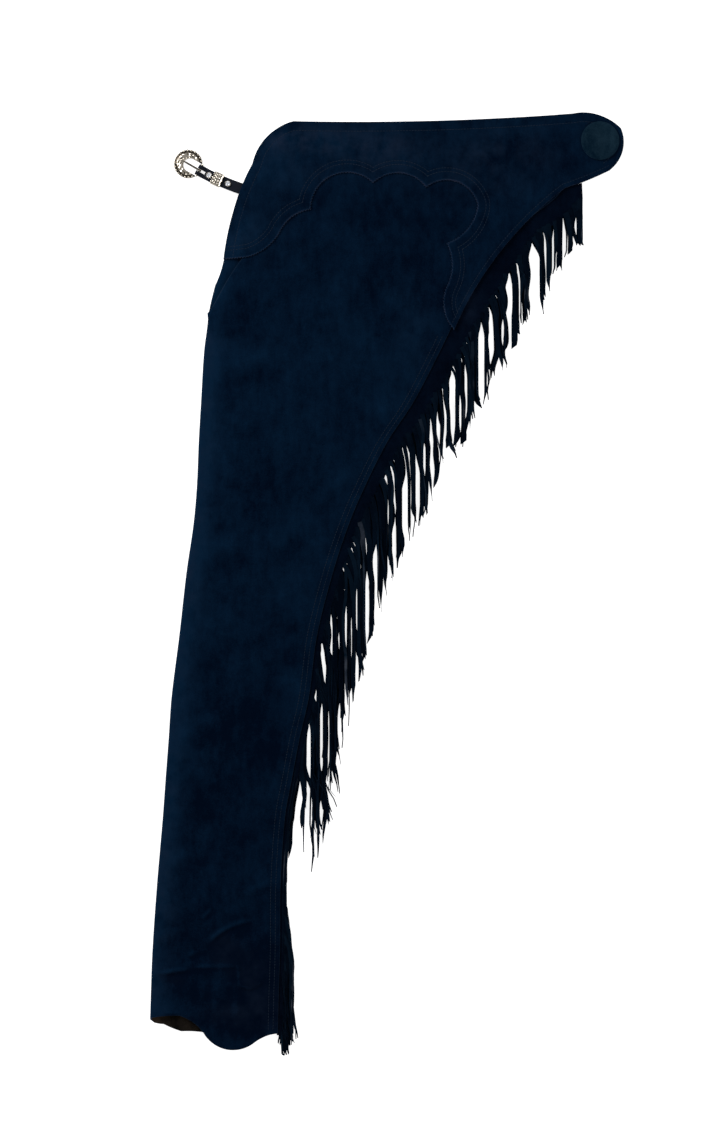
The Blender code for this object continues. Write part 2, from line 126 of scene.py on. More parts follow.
BACK_HEM = (
    (-270, -498.5, -0.5),
    (-254, -501.5, -0.5),
    (-234, -509.6, 0.5),
    (-211, -510.4, -6),
    (-124.3, -506, 0),
)
FAR_HEM = (
    (-268, -489, 1),
    (-236, -486, 3),
    (-208, -506, -13.5),
    (-150, -516.5, 2),
    (-125.3, -507, 0),
)
FRONT_RISE = (
    (196, 530, 4),
    (-82, 523.5, -5),
    (-112, 486, 0),
    (-144, 402, 0),
    (-166, 370, -1),
    (-191, 329.5, 0),
    (-200.3, 313, 0),
)
BACK_RISE = (
    (190, 526, 4),
    (-76, 519, -5),
    (-106, 484, 0),
    (-136, 402, 0),
    (-158, 366, -1),
    (-197, 316, 0),
)
# The near leg's ankle folds, each a low ridge with a trough below: x and y of its ends, and its half width
FOLDS = (
    (-260, -441.5, -169, -435, 6),
    (-202, -405, -155.5, -382.5, 6),
    (-169, -455, -140, -447, 6),
)
FOLD_RISE = 0.5
FOLD_DIP = 1.3
CROTCH_CRESCENT = ((-186, 371, 1), (-196, 341.4, 0), (-200.6, 323, 0), (-203.4, 309.5, 0))
FRINGE_REACH = (
    (-112, -537.6, 0),
    (-98, -512, 0),
    (-97, -378, 2),
    (-60, -268, -2),
    (-22, -85, 1),
    (5, -5, -2),
    (60, 111, 0),
    (122, 220, 2),
    (178, 318, 2),
    (226, 393, 1),
    (224, 454, 0),
)

# The far leg's edge: how far each level is drawn in, and its height. Two grooves part three sheets.
FAR_EDGE = (
    (1.3, 0),
    (0.3, 0.35),
    (0.1, 0.8),
    (0.4, 1.3),
    (2.2, 1.5),
    (0.6, 1.7),
    (0.2, 2.2),
    (0.5, 2.8),
    (2.4, 3.0),
    (0.6, 3.2),
    (0.1, 3.7),
    (0.4, 4.3),
    (1.2, FAR_TOP),
)

ROSETTE_CENTRE = (243.5, 506)
ROSETTE_RADIUS = 21.9
ROSETTE_DEPTH = 2.4

BAR_CENTRE = Vector((-213.7, 473.0, 3.05))
BAR_RADIUS = 1.3
BAR_LENGTH = 15.6
STRAP_WIDTH = 12.7
STRAP_LENGTH = 70
STRAP_SHOWS = 50
STRAP_HEADING = math.radians(-30)
STRAP_TURN = math.radians(0.22)
STRAP_CLIMB = 3.5
STRAP_SPREAD = (STRAP_LEATHER + GAP) / 2
LOOP_RADIUS = BAR_RADIUS + 0.25 + STRAP_LEATHER / 2
LOOP_TAPER = 8
SLOT_WIDTH = 3.4
SLOT_LENGTH = 7.5
KEEPER_AT = 23.3
KEEPER_LENGTH = 12
KEEPER_METAL = 1.2
KEEPER_SLACK = 0.9
STUDS_AT = (12.7, 36.5)

BUCKLE_HEADING = math.radians(150)
BUCKLE_TILT = math.radians(3)
BUCKLE_CENTRE = 14.6
BUCKLE_RADIUS = 16.8
BUCKLE_UNDERSIDE = -1.35
BUCKLE_DOME = ((5, 0.9), (7.5, 1.3), (10.5, 1.5), (13.2, 1.3), (14.2, 1.0), (15.9, 1.1), (16.8, 0.3))
BUCKLE_OPENING = (
    (-8, -6.9, 0),
    (0.8, -6.9, 0),
    (1.8, -7.5, 0),
    (11, -7.5, -8.8),
    (11, 7.5, 0),
    (1.8, 7.5, 0),
    (0.8, 6.9, 0),
    (-8, 6.9, 0),
)
PRONG_EYE = BAR_RADIUS + 0.2 + 0.45
PRONG_REACH = ((3, 2.05), (8, 2.35), (14, 2.4), (19, 2.15), (21.8, 2.0))
PRONG_HALF_WIDTH = 1.15
PRONG_HALF_DEPTH = 0.45

# Creases of the near leg: start x, y, end x, y, bow, half width, height of the ridge, depth below it
CREASES = (
    (-260, -441.5, -219.5, -435, -1.5, 2.4, 1.2, 1.1),
    (-219.5, -435, -169, -435, 1.0, 2.2, 0.9, 0.8),
    (-250, -441, -216, -429, 0.5, 2.0, 0.4, 0.6),
    (-201.6, -405, -155.6, -382.5, 4.0, 2.6, 1.3, 1.3),
    (-226, -422, -206, -415, 0.5, 2.2, 0.5, 0.7),
    (-210, -381, -199, -369, 0.6, 2.2, 0.7, 0.5),
    (-170.4, -434, -169, -455, 1.0, 1.8, 0.6, 0.6),
    (-169, -455, -140, -447, -8.5, 1.9, 0.9, 0.6),
    (-209, -446, -213, -484, 1.5, 3.6, 0.35, 0.4),
    (-192, -450, -196, -488, -1.0, 3.4, 0.3, 0.3),
    (-172, -460, -177, -500, 1.5, 3.8, 0.4, 0.4),
    (-150, -466, -152, -502, 0.5, 3.6, 0.3, 0.3),
    (-260, -489, -233, -486.5, 0.4, 1.8, 0.5, 0.4),
    (-262, -400, -232, -392, 1.0, 4.0, 0.5, 0.4),
    (-160, -352, -130, -338, 1.5, 4.0, 0.5, 0.5),
    (-252, -318, -205, -300, 3.0, 7.0, 0.5, 0.4),
    (-238, -178, -190, -150, 4.0, 9.0, 0.6, 0.4),
    (-150, -96, -100, -60, 4.0, 8.0, 0.5, 0.5),
    (-225, 22, -165, 52, 5.0, 11.0, 0.7, 0.4),
    (-80, 92, -40, 130, 4.0, 7.0, 0.5, 0.5),
    (-205, 236, -130, 262, 6.0, 12.0, 0.7, 0.4),
    (20, 250, 48, 300, 3.0, 6.0, 0.4, 0.4),
    (-60, 400, 10, 388, 4.0, 10.0, 0.5, 0.3),
)
# Broad hollows and swells of the near leg: x, y, radius across, radius along, height
SWELLS = (
    (-186, -414, 13, 12, -0.9),
    (-240, -455, 16, 10, -0.5),
    (-150, -420, 14, 30, -0.5),
    (-205, -480, 30, 16, 0.6),
    (-160, -300, 30, 60, 0.6),
    (-215, -220, 28, 70, 0.5),
    (-150, -30, 46, 70, 0.7),
    (-160, 190, 40, 60, 0.8),
    (-20, 240, 50, 60, 0.7),
    (-40, 390, 60, 34, 0.6),
)
# Where the nap is brushed light or dark, with painted light along the inner-leg fold and on the far leg's crescent, and
# painted shade over the ankle: x, y, radius across, radius along, lightness, purple
NAP_AND_PAINTED_LIGHT = (
    (-60, 500, 60, 22, 0.55, 0.5),
    (-128, 470, 34, 30, 0.55, 0.12),
    (-150, 400, 26, 24, 0.75, 0.15),
    (-172, 392, 16, 26, 0.5, 0.1),
    (92, 318, 12, 20, 0.5, 0.3),
    (-112, 512, 26, 14, 0.45, 0.6),
    (10, 492, 40, 24, 0.2, 0.35),
    (-118, 428, 22, 20, -0.35, 0.0),
    (120, 480, 60, 30, -0.15, 0.3),
    (160, 505, 60, 20, 0.1, 0.1),
    # Painted light on the far leg's crescent below the yoke's edge.
    (-196, 345, 12, 34, 1.5, 0.1),
    # Painted light along the rounded inner-leg fold.
    (-200, 220, 12, 90, 0.45, 0.0),
    (-214, 60, 12, 90, 0.6, 0.0),
    (-232, -80, 12, 110, 0.5, 0.0),
    (-246, -240, 12, 80, 0.35, 0.0),
    (-255, -360, 14, 50, 0.3, 0.1),
    (-20, 420, 60, 26, -0.5, 0.0),
    (20, 350, 44, 40, -0.35, 0.0),
    (-60, 330, 60, 36, 0.15, 0.0),
    (-140, 300, 40, 50, -0.2, 0.0),
    (-90, 210, 50, 40, 0.2, 0.0),
    (0, 200, 30, 50, 0.25, 0.0),
    (30, 290, 22, 40, 0.3, 0.1),
    (-150, 110, 40, 30, -0.5, 0.0),
    (-110, 20, 44, 46, 0.15, 0.0),
    (-160, -60, 36, 40, -0.2, 0.0),
    (-200, -150, 34, 40, -0.3, 0.0),
    (-150, -180, 32, 44, -0.6, 0.0),
    (-210, -260, 34, 34, -0.5, 0.0),
    (-160, -300, 30, 30, -0.1, 0.0),
    (-230, -330, 30, 30, 0.15, 0.0),
    # Painted shade over the folded ankle and in its hollows.
    (-184, -416, 16, 17, -0.75, 0.2),
    (-242, -452, 12, 6, -0.5, 0.1),
    (-175, -430, 110, 150, -0.5, 0.0),
    (-150, -495, 34, 26, -0.45, 0.22),
    (-195, -492, 30, 18, -0.2, 0.1),
    (-150, -450, 26, 34, -0.75, 0.2),
    (-235, -478, 24, 14, 0.15, 0.0),
    (-186, -320, 60, 26, 0.2, 0.0),
    (245, 505, 26, 26, 0.35, 0.0),
)


def smooth(value):
    """0 below 0, 1 above 1, and a smooth step between."""
    value = np.clip(value, 0.0, 1.0)
    return value * value * (3 - 2 * value)


# Outlines


def arc(start, end, rise, spacing):
    """Points on an arc from start up to end, end left out."""
    chord = end - start
    steps = max(1, math.ceil(chord.length / spacing))
    if not rise:
        return [start.lerp(end, step / steps) for step in range(steps)]
    side = Vector((-chord.y, chord.x)).normalized()
    half_turn = 2 * math.atan(2 * rise / chord.length)
    radius = chord.length / (2 * math.sin(half_turn))
    steps = max(steps, math.ceil(abs(half_turn) / math.radians(12)))
    points = []
    for step in range(steps):
        angle = half_turn * (2 * step / steps - 1)
        along = chord.length / 2 + radius * math.sin(angle)
        rise_here = radius * (math.cos(angle) - math.cos(half_turn))
        points.append(start + chord.normalized() * along + side * rise_here)
    return points


def edge(rows, spacing):
    """Points along a row of arcs, with the last row's own point."""
    corners = [Vector(row[:2]) for row in rows]
    points = []
    for start, end, row in zip(corners, corners[1:], rows):
        points += arc(start, end, row[2], spacing)
    return np.array(points + corners[-1:])


def even(path, spacing):
    """The path's points again, evenly spaced along it."""
    path = np.asarray(path, float)
    run = np.concatenate([[0], np.cumsum(np.linalg.norm(np.diff(path, axis=0), axis=1))])
    count = max(2, int(round(run[-1] / spacing)) + 1)
    places = np.linspace(0, run[-1], count)
    return np.stack([np.interp(places, run, path[:, k]) for k in range(path.shape[1])], axis=1)


def sideways(path):
    """The unit normal to the left of an open path, at each of its points."""
    run = np.gradient(path, axis=0)
    run /= np.linalg.norm(run, axis=1)[:, None]
    return np.stack([-run[:, 1], run[:, 0]], axis=1)


def leg_at(heights):
    """The inner-leg fold and the outer seam at each height, on a smooth curve through the LEG rows."""
    rows = np.array(LEG[::-1], float)
    y = np.clip(heights, rows[0, 0], rows[-1, 0])
    k = np.clip(np.searchsorted(rows[:, 0], y, side="right") - 1, 0, len(rows) - 2)
    low, high = rows[k], rows[k + 1]
    below, above = rows[np.maximum(k - 1, 0)], rows[np.minimum(k + 2, len(rows) - 1)]
    span = high[..., 0] - low[..., 0]
    t = (y - low[..., 0]) / span
    found = []
    for column in (1, 2):
        slope_low = (high[..., column] - below[..., column]) / (high[..., 0] - below[..., 0]) * span
        slope_high = (above[..., column] - low[..., column]) / (above[..., 0] - low[..., 0]) * span
        found.append(
            low[..., column] * (1 + 2 * t) * (1 - t) ** 2
            + slope_low * t * (1 - t) ** 2
            + high[..., column] * t * t * (3 - 2 * t)
            + slope_high * t * t * (t - 1)
        )
    return found


def seam_edge(low, high, outset, spacing):
    """Points up the outer seam, moved out by outset."""
    heights = np.linspace(low, high, math.ceil((high - low) / spacing) + 1)
    return np.stack([leg_at(heights)[1] + outset, heights], axis=1)


def fold_edge(low, high, inset, spacing):
    """Points down the inner-leg fold, moved in by inset."""
    heights = np.linspace(high, low, math.ceil((high - low) / spacing) + 1)
    return np.stack([leg_at(heights)[0] + inset, heights], axis=1)


def from_path(points, path):
    """How far each point is from a path of straight pieces, and the signed side: positive to its left."""
    points, path = np.asarray(points, float), np.asarray(path, float)
    best = np.full(len(points), 1e9)
    side = np.zeros(len(points))
    for a, b in zip(path, path[1:]):
        run = b - a
        t = np.clip((points - a) @ run / (run @ run), 0, 1)
        away = points - a - t[:, None] * run
        far = np.linalg.norm(away, axis=1)
        nearer = far < best
        best = np.where(nearer, far, best)
        side = np.where(nearer, run[0] * away[:, 1] - run[1] * away[:, 0], side)
    return best, np.sign(side)


def inside(points, outline):
    """Which points lie inside a closed outline."""
    x, y = points[:, 0], points[:, 1]
    found = np.zeros(len(points), bool)
    for a, b in zip(outline, np.roll(outline, -1, axis=0)):
        if a[1] == b[1]:
            continue
        crosses = (a[1] > y) != (b[1] > y)
        found ^= crosses & (x < a[0] + (b[0] - a[0]) * (y - a[1]) / (b[1] - a[1]))
    return found


def lattice(outline, spacing, keep_off, low=(-1e4, -1e4), high=(1e4, 1e4)):
    """Points on a triangular lattice inside the outline and clear of it, within a window."""
    low = np.maximum(outline.min(axis=0), low)
    high = np.minimum(outline.max(axis=0), high)
    rows = np.arange(math.ceil(low[1] / spacing), math.floor(high[1] / spacing) + 1)
    columns = np.arange(math.ceil(low[0] / spacing) - 1, math.floor(high[0] / spacing) + 1)
    grid_x, grid_y = np.meshgrid(columns * spacing, rows * spacing)
    grid_x = grid_x + (rows[:, None] % 2) * spacing / 2
    points = np.stack([grid_x.ravel(), grid_y.ravel()], axis=1)
    points = points[(points >= low).all(axis=1) & (points <= high).all(axis=1)]
    points = points[inside(points, outline)]
    return points[from_path(points, np.vstack([outline, outline[:1]]))[0] > keep_off]


# Heights of the cloth


def bumps(points, rows, column):
    """The sum of soft patches at each point: a row is x, y, radius across, radius along and amounts."""
    total = np.zeros(len(points))
    for row in rows:
        away = ((points[:, 0] - row[0]) / row[2]) ** 2 + ((points[:, 1] - row[1]) / row[3]) ** 2
        total += row[column] * np.exp(-away)
    return total


def ankle_folds(points):
    """The folds of the leg's solid: low ridges with a trough below."""
    total = np.zeros(len(points))
    for x1, y1, x2, y2, half_width in FOLDS:
        run = np.array((x2 - x1, y2 - y1), float)
        away = points - np.array((x1, y1))
        along = away @ run / (run @ run)
        off = (run[0] * away[:, 1] - run[1] * away[:, 0]) / np.linalg.norm(run) / half_width
        fade = smooth((along + 0.15) / 0.3) * smooth((1.15 - along) / 0.3)
        total += fade * (FOLD_RISE * np.exp(-(off**2)) - FOLD_DIP * np.exp(-((off + 2) ** 2)))
    return total


def creases(points):
    """Ridges, each with a trough on its lower side, fading towards its ends."""
    total = np.zeros(len(points))
    for x1, y1, x2, y2, bow, half, ridge, trough in CREASES:
        start, end = np.array((x1, y1), float), np.array((x2, y2), float)
        run = end - start
        length = np.linalg.norm(run)
        run /= length
        along = (points - start) @ run / length
        near = (along > -0.2) & (along < 1.2)
        t = along[near]
        off = (points[near] - start) @ np.array((-run[1], run[0])) - 4 * bow * t * (1 - t)
        fade = smooth((t + 0.12) / 0.3) * smooth((1.12 - t) / 0.35)
        wobble = 1 + 0.25 * np.sin(7 * t + x1)
        rise = ridge * np.exp(-((off / half) ** 2)) - trough * np.exp(-(((off + 2.1 * half) / (1.4 * half)) ** 2))
        total[near] += rise * fade * wobble
    return total


def ripple(points, size, seed):
    """Gentle uneven waves of about this size, from -1 to 1."""
    return np.array([noise.noise(Vector((x / size, y / size, seed))) for x, y in points])


def spread(points):
    """How far the near leg's two layers stand apart, middle to middle."""
    fold, seam = leg_at(points[:, 1])
    across = np.clip((points[:, 0] - fold) / (seam - fold), 0, 1)
    opening = smooth((CLOSED_ABOVE - points[:, 1]) / OPENING_HEIGHT)
    at_fold = (2 * FOLD_RADIUS - SEAM_SPREAD) * (1 - smooth((across - 0.35) / 0.65))
    return SEAM_SPREAD + opening * (at_fold + PUFF * np.sin(math.pi * across))


def relief(points):
    """What the handled leather adds to the smooth form: waves, swells and creases, flat at the seam and fold."""
    fold, seam = leg_at(points[:, 1])
    inner = smooth((points[:, 0] - fold - 2) / 14) * smooth((seam - points[:, 0]) / 16)
    waves = 0.5 * ripple(points, 70, 3.1) + 0.22 * ripple(points, 24, 7.7) + 0.07 * ripple(points, 8, 1.3)
    handled = ankle_folds(points) + creases(points) * smooth((points[:, 0] - fold) / 6)
    return inner * (waves + bumps(points, SWELLS, 4)) + handled


def front_z(points):
    return BACK_Z + spread(points) + relief(points)


def strap_point(along):
    """The strap's centre line in plan."""
    heading = STRAP_HEADING + STRAP_TURN * max(0.0, along) / 2
    return BAR_CENTRE.xy + Vector((math.cos(heading), math.sin(heading))) * along


def on_strap(along, across, above):
    """A point by its place along and across the strap, and above its middle."""
    heading = STRAP_HEADING + STRAP_TURN * max(0.0, along)
    plan = strap_point(along) + Vector((-math.sin(heading), math.cos(heading))) * across
    climb = STRAP_CLIMB * float(smooth(along / STRAP_SHOWS))
    return Vector((plan.x, plan.y, BAR_CENTRE.z + climb + above))


def yoke_z(points):
    """The yoke lies on the leg, dips to the far side past the leg's edges, and rides over the strap."""
    held = smooth(from_path(points, YOKE_FRONT)[0] / 17) * smooth((252 - points[:, 0]) / 36)
    strap_end, strap_shows = strap_point(STRAP_LENGTH), strap_point(STRAP_SHOWS)
    run = np.array(strap_shows - strap_end)
    t = (points - np.array(strap_end)) @ run / (run @ run)
    from_strap = np.linalg.norm(points - np.array(strap_end) - t[:, None] * run, axis=1)
    over_strap = (1 - smooth((from_strap - 13) / 15)) * (1 - smooth((points[:, 0] - strap_end.x) / 30))
    held = 1 - (1 - held) * (1 - over_strap)
    handled = 0.22 * ripple(points, 26, 5.5) + 0.08 * ripple(points, 9, 2.2)
    return YOKE_LOW + (front_z(points) + YOKE_STEP - YOKE_LOW) * held + handled * held


# Makers of objects


def nap_tone_and_painted_light(points):
    """Lightness and purple at each point: nap tone, painted light along the rounded inner-leg fold and on crease
    ridges, and painted shade in the crease troughs.
    """
    below_yoke = smooth((300 - points[:, 1]) / 30)
    # Painted light along the rounded inner-leg fold, below the yoke.
    edge_strip = np.exp(-np.maximum(0, (points[:, 0] - leg_at(points[:, 1])[0]) / 17) ** 2)
    # Painted light on the crease ridges and painted shade in their troughs, taken from the crease heights.
    wear_and_painted_shading = creases(points) * np.where(creases(points) > 0, 1.0, 0.6)
    lightness = bumps(points, NAP_AND_PAINTED_LIGHT, 4) + below_yoke * (1.15 * edge_strip + wear_and_painted_shading)
    return lightness, bumps(points, NAP_AND_PAINTED_LIGHT, 5) + 0.3 * below_yoke * edge_strip


def paint(mesh, name, values):
    layer = mesh.attributes.new(name, "FLOAT", "POINT")
    layer.data.foreach_set("value", np.asarray(values, np.float32))


def new_piece(name, spots, faces, materials, node, body="chaps", tones=True, smooth_angle=50):
    """An object from points in millimetres, riding on its body in place of the node."""
    mesh = bpy.data.meshes.new(name)
    mesh.from_pydata((np.asarray(spots, float) * MM).tolist(), [], [list(map(int, face)) for face in faces])
    mesh.validate()
    if tones:
        lightness, purple = nap_tone_and_painted_light(np.asarray(spots)[:, :2])
        paint(mesh, "lightness", lightness)
        paint(mesh, "purple", purple)
    for material in materials:
        mesh.materials.append(material)
    made = bpy.data.objects.new(name, mesh)
    bpy.context.scene.collection.objects.link(made)
    mesh.shade_smooth()
    mesh.set_sharp_from_angle(angle=math.radians(smooth_angle))
    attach(made, body)
    if node:
        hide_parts(*([node] if isinstance(node, str) else node))
    return made


def leather(made, thickness, roll=0.4):
    """Thickens a sheet both ways and rolls its cut edge. Its materials are outside, inside and cut edge."""
    thicken = made.modifiers.new("Leather", "SOLIDIFY")
    thicken.thickness = thickness * MM
    thicken.offset = 0
    thicken.use_even_offset = True
    thicken.material_offset = 1
    thicken.material_offset_rim = 2
    rolled = made.modifiers.new("Rolled edge", "BEVEL")
    rolled.width = roll * MM
    rolled.segments = 2
    rolled.limit_method = "ANGLE"
    rolled.angle_limit = math.radians(55)
    rolled.material = 2
    return made


def filled(outline, inner):
    """An outline and the points inside it, joined by triangles: (points, faces)."""
    points = [Vector(point) for point in np.vstack([outline, inner])]
    loop = list(range(len(outline)))
    seams = [(k, (k + 1) % len(loop)) for k in loop]
    points, _, faces = geometry.delaunay_2d_cdt(points, seams, [loop], 1, 1e-3)[:3]
    return np.array(points), faces


def tube(name, rings, closed, materials, node, body="chaps", tones=False, smooth_angle=50):
    """A solid through rings of points, capped at its ends unless it is closed."""
    rings = np.asarray(rings, float)
    count, sides = rings.shape[:2]
    faces = []
    for ring in range(count if closed else count - 1):
        after = (ring + 1) % count
        for k in range(sides):
            turn = (k + 1) % sides
            faces.append((ring * sides + k, ring * sides + turn, after * sides + turn, after * sides + k))
    if not closed:
        faces.append(range(sides))
        faces.append(range((count - 1) * sides, count * sides))
    made = new_piece(name, rings.reshape(-1, 3), faces, materials, node, body, tones, smooth_angle)
    maker = bmesh.new()
    maker.from_mesh(made.data)
    bmesh.ops.recalc_face_normals(maker, faces=maker.faces)
    maker.to_mesh(made.data)
    maker.free()
    return made


# Materials


def new_material(name):
    material = bpy.data.materials.new(name)
    material.use_nodes = True
    return material, material.node_tree, material.node_tree.nodes["Principled BSDF"]


def noise_at(tree, scale, detail=3.0, rough=0.6, stretch=None):
    where = tree.nodes.new("ShaderNodeTexCoord")
    texture = tree.nodes.new("ShaderNodeTexNoise")
    texture.inputs["Scale"].default_value = scale
    texture.inputs["Detail"].default_value = detail
    texture.inputs["Roughness"].default_value = rough
    source = where.outputs["Object"]
    if stretch:
        mapping = tree.nodes.new("ShaderNodeMapping")
        mapping.inputs["Scale"].default_value = stretch
        tree.links.new(source, mapping.inputs["Vector"])
        source = mapping.outputs["Vector"]
    tree.links.new(source, texture.inputs["Vector"])
    return texture.outputs["Fac"]


def maths(tree, operation, first, second):
    made = tree.nodes.new("ShaderNodeMath")
    made.operation = operation
    for socket, value in zip(made.inputs, (first, second)):
        if isinstance(value, (int, float)):
            socket.default_value = value
        else:
            tree.links.new(value, socket)
    return made.outputs[0]


def blended(tree, factor, first, second):
    """A colour between two, by factor."""
    made = tree.nodes.new("ShaderNodeMix")
    made.data_type = "RGBA"
    made.clamp_factor = True
    tree.links.new(factor, made.inputs["Factor"])
    for key, value in (("A", first), ("B", second)):
        socket = next(s for s in made.inputs if s.name == key and s.type == "RGBA")
        if isinstance(value, tuple):
            socket.default_value = (*value, 1.0)
        else:
            tree.links.new(value, socket)
    return next(s for s in made.outputs if s.type == "RGBA")


def attribute(tree, name):
    made = tree.nodes.new("ShaderNodeAttribute")
    made.attribute_name = name
    return made.outputs["Fac"]


def bumped(tree, shader, heights):
    """Adds bumps: pairs of a height from 0 to 1 and its depth in metres."""
    normal = None
    for height, depth in heights:
        bump = tree.nodes.new("ShaderNodeBump")
        bump.inputs["Distance"].default_value = depth
        tree.links.new(height, bump.inputs["Height"])
        if normal:
            tree.links.new(normal, bump.inputs["Normal"])
        normal = bump.outputs["Normal"]
    tree.links.new(normal, shader.inputs["Normal"])


def suede(name, dark, light, purple, nap_depth=0.00012, contrast=1.0):
    """Napped leather: cloudy tone, brushed streaks, fine nap and the light and purple patches."""
    material, tree, shader = new_material(name)
    clouds = noise_at(tree, 24, 4.0, 0.68)
    blots = noise_at(tree, 85, 3.0, 0.65, (1.0, 0.6, 1.0))
    streaks = noise_at(tree, 140, 3.0, 0.65, (1.0, 0.28, 1.0))
    nap = noise_at(tree, 700, 2.0, 0.75)
    tone = 0.36
    for part, weight in ((clouds, 1.3), (blots, 0.8), (streaks, 0.5), (nap, 0.8)):
        tone = maths(tree, "ADD", tone, maths(tree, "MULTIPLY", maths(tree, "SUBTRACT", part, 0.5), weight * contrast))
    # The lightness attribute adds nap tone, painted light and painted shade to the colour.
    tone = maths(tree, "ADD", tone, maths(tree, "MULTIPLY", attribute(tree, "lightness"), 0.5))
    colour = blended(tree, tone, dark, light)
    patches = noise_at(tree, 48, 3.0, 0.6)
    mottle = maths(tree, "MULTIPLY", maths(tree, "SUBTRACT", patches, 0.38), 3.0)
    violet = maths(tree, "MULTIPLY", attribute(tree, "purple"), mottle)
    colour = blended(tree, violet, colour, purple)
    tree.links.new(colour, shader.inputs["Base Color"])
    shader.inputs["Roughness"].default_value = 0.95
    shader.inputs["Specular IOR Level"].default_value = 0.008
    shader.inputs["Sheen Weight"].default_value = 0.12
    shader.inputs["Sheen Roughness"].default_value = 0.45
    shader.inputs["Sheen Tint"].default_value = (0.10, 0.22, 0.42, 1.0)
    bumped(tree, shader, ((nap, nap_depth), (streaks, 0.00025), (blots, 0.0005)))
    return material


def plain_leather(name, dark, light, roughness, grain_scale, grain_depth):
    material, tree, shader = new_material(name)
    grain = noise_at(tree, grain_scale, 3.0, 0.55)
    tree.links.new(blended(tree, noise_at(tree, 90, 3.0, 0.6), dark, light), shader.inputs["Base Color"])
    shader.inputs["Roughness"].default_value = roughness
    shader.inputs["Specular IOR Level"].default_value = 0.12
    bumped(tree, shader, ((grain, grain_depth),))
    return material


def silver(name):
    """Cast and engraved silver, dark in its recesses, and given a dark tone all over on the prong."""
    material, tree, shader = new_material(name)
    wear_and_painted_shading = noise_at(tree, 700, 3.0, 0.6)
    silver_darkness = maths(tree, "ADD", attribute(tree, "silver_darkness"), maths(tree, "MULTIPLY", wear_and_painted_shading, 0.25))
    colour = blended(tree, maths(tree, "SUBTRACT", silver_darkness, 0.1), (0.44, 0.40, 0.34), (0.040, 0.032, 0.024))
    tree.links.new(colour, shader.inputs["Base Color"])
    shader.inputs["Metallic"].default_value = 1.0
    rough = maths(tree, "ADD", maths(tree, "MULTIPLY", wear_and_painted_shading, 0.22), 0.1)
    tree.links.new(rough, shader.inputs["Roughness"])
    bumped(tree, shader, ((wear_and_painted_shading, 0.00008),))
    return material


def crystal_glass(name):
    material, tree, shader = new_material(name)
    # Painted glints: Voronoi cells shade the crystal's colour from white to grey-blue, standing in for facet
    # reflections.
    painted_facet_glints = tree.nodes.new("ShaderNodeTexVoronoi")
    where = tree.nodes.new("ShaderNodeTexCoord")
    painted_facet_glints.inputs["Scale"].default_value = 520
    tree.links.new(where.outputs["Object"], painted_facet_glints.inputs["Vector"])
    tree.links.new(
        blended(tree, painted_facet_glints.outputs["Distance"], (0.98, 0.99, 1.0), (0.55, 0.6, 0.7)), shader.inputs["Base Color"]
    )
    shader.inputs["Metallic"].default_value = 0.85
    shader.inputs["Roughness"].default_value = 0.05
    shader.inputs["Coat Weight"].default_value = 1.0
    shader.inputs["Coat Roughness"].default_value = 0.02
    return material


def make_materials():
    violet = (0.0085, 0.0130, 0.0265)
    return {
        "suede": suede("navy_suede", (0.0001, 0.0018, 0.0066), (0.0014, 0.0088, 0.0235), violet),
        "rosette": suede("rosette_nap", (0.0010, 0.0060, 0.0130), (0.0068, 0.0185, 0.0300), violet, contrast=1.6),
        "fringe": suede("fringe_suede", (0.0001, 0.0010, 0.0032), (0.0016, 0.0052, 0.0110), (0.05, 0.055, 0.07)),
        "header": suede("header_suede", (0.0001, 0.0007, 0.0030), (0.0008, 0.0034, 0.0095), violet),
        "inside": suede("flesh_side", (0.0016, 0.0014, 0.0012), (0.0150, 0.0115, 0.0085), (0.05, 0.03, 0.02)),
        "cut_edge": suede("cut_edge", (0.0030, 0.0080, 0.0170), (0.0120, 0.0200, 0.0360), (0.05, 0.05, 0.08)),
        # The yoke's pinked cut edge: the cut edge's own lighter tone, raised much further as a painted highlight for
        # its lit edge.
        "pinked_edge": suede("pinked_edge", (0.0130, 0.0190, 0.0400), (0.0380, 0.0430, 0.0720), (0.05, 0.05, 0.08)),
        "thread": plain_leather("thread", (0.0008, 0.0055, 0.0140), (0.0085, 0.0140, 0.0280), 0.7, 2500, 0.00003),
        "strap": plain_leather("strap_leather", (0.0004, 0.0012, 0.0040), (0.0016, 0.0040, 0.0100), 0.7, 900, 0.00015),
        "silver": silver("engraved_silver"),
        "crystal": crystal_glass("crystal_glass"),
    }


# The leather pieces


QUARTER = math.pi * FOLD_RADIUS / 2
FOLD_START = LEG_LEATHER / 2 + FOLD_RADIUS


def unrolled(path, side):
    """Points given where they lie, as points of the unrolled leg panel: its front is +1, its back is -1."""
    return np.stack([side * (path[:, 0] - leg_at(path[:, 1])[0] - FOLD_START + QUARTER), path[:, 1]], axis=1)


def folded(points):
    """Points of the unrolled leg panel, folded round the inner leg. The hem's front edge curls up a little."""
    across, y = points[:, 0], points[:, 1]
    from_fold = np.abs(across)
    turn = np.minimum(from_fold, QUARTER) / FOLD_RADIUS
    x = leg_at(y)[0] + LEG_LEATHER / 2 + FOLD_RADIUS * (1 - np.cos(turn)) + np.maximum(0, from_fold - QUARTER)
    flat = np.stack([x, y], axis=1)
    rise = (1 + np.sign(across) * np.sin(turn)) / 2
    hem = np.exp(-((from_path(flat, edge(FRONT_HEM, 6))[0] / 6) ** 2)) * smooth((x + 216) / 14) * smooth((-132 - x) / 14)
    curl = np.where(across > 0, 1.5 * hem, 0)
    z = BACK_Z + (spread(flat) + relief(flat) * (across > 0) + curl) * rise
    return np.stack([x, y, z], axis=1)


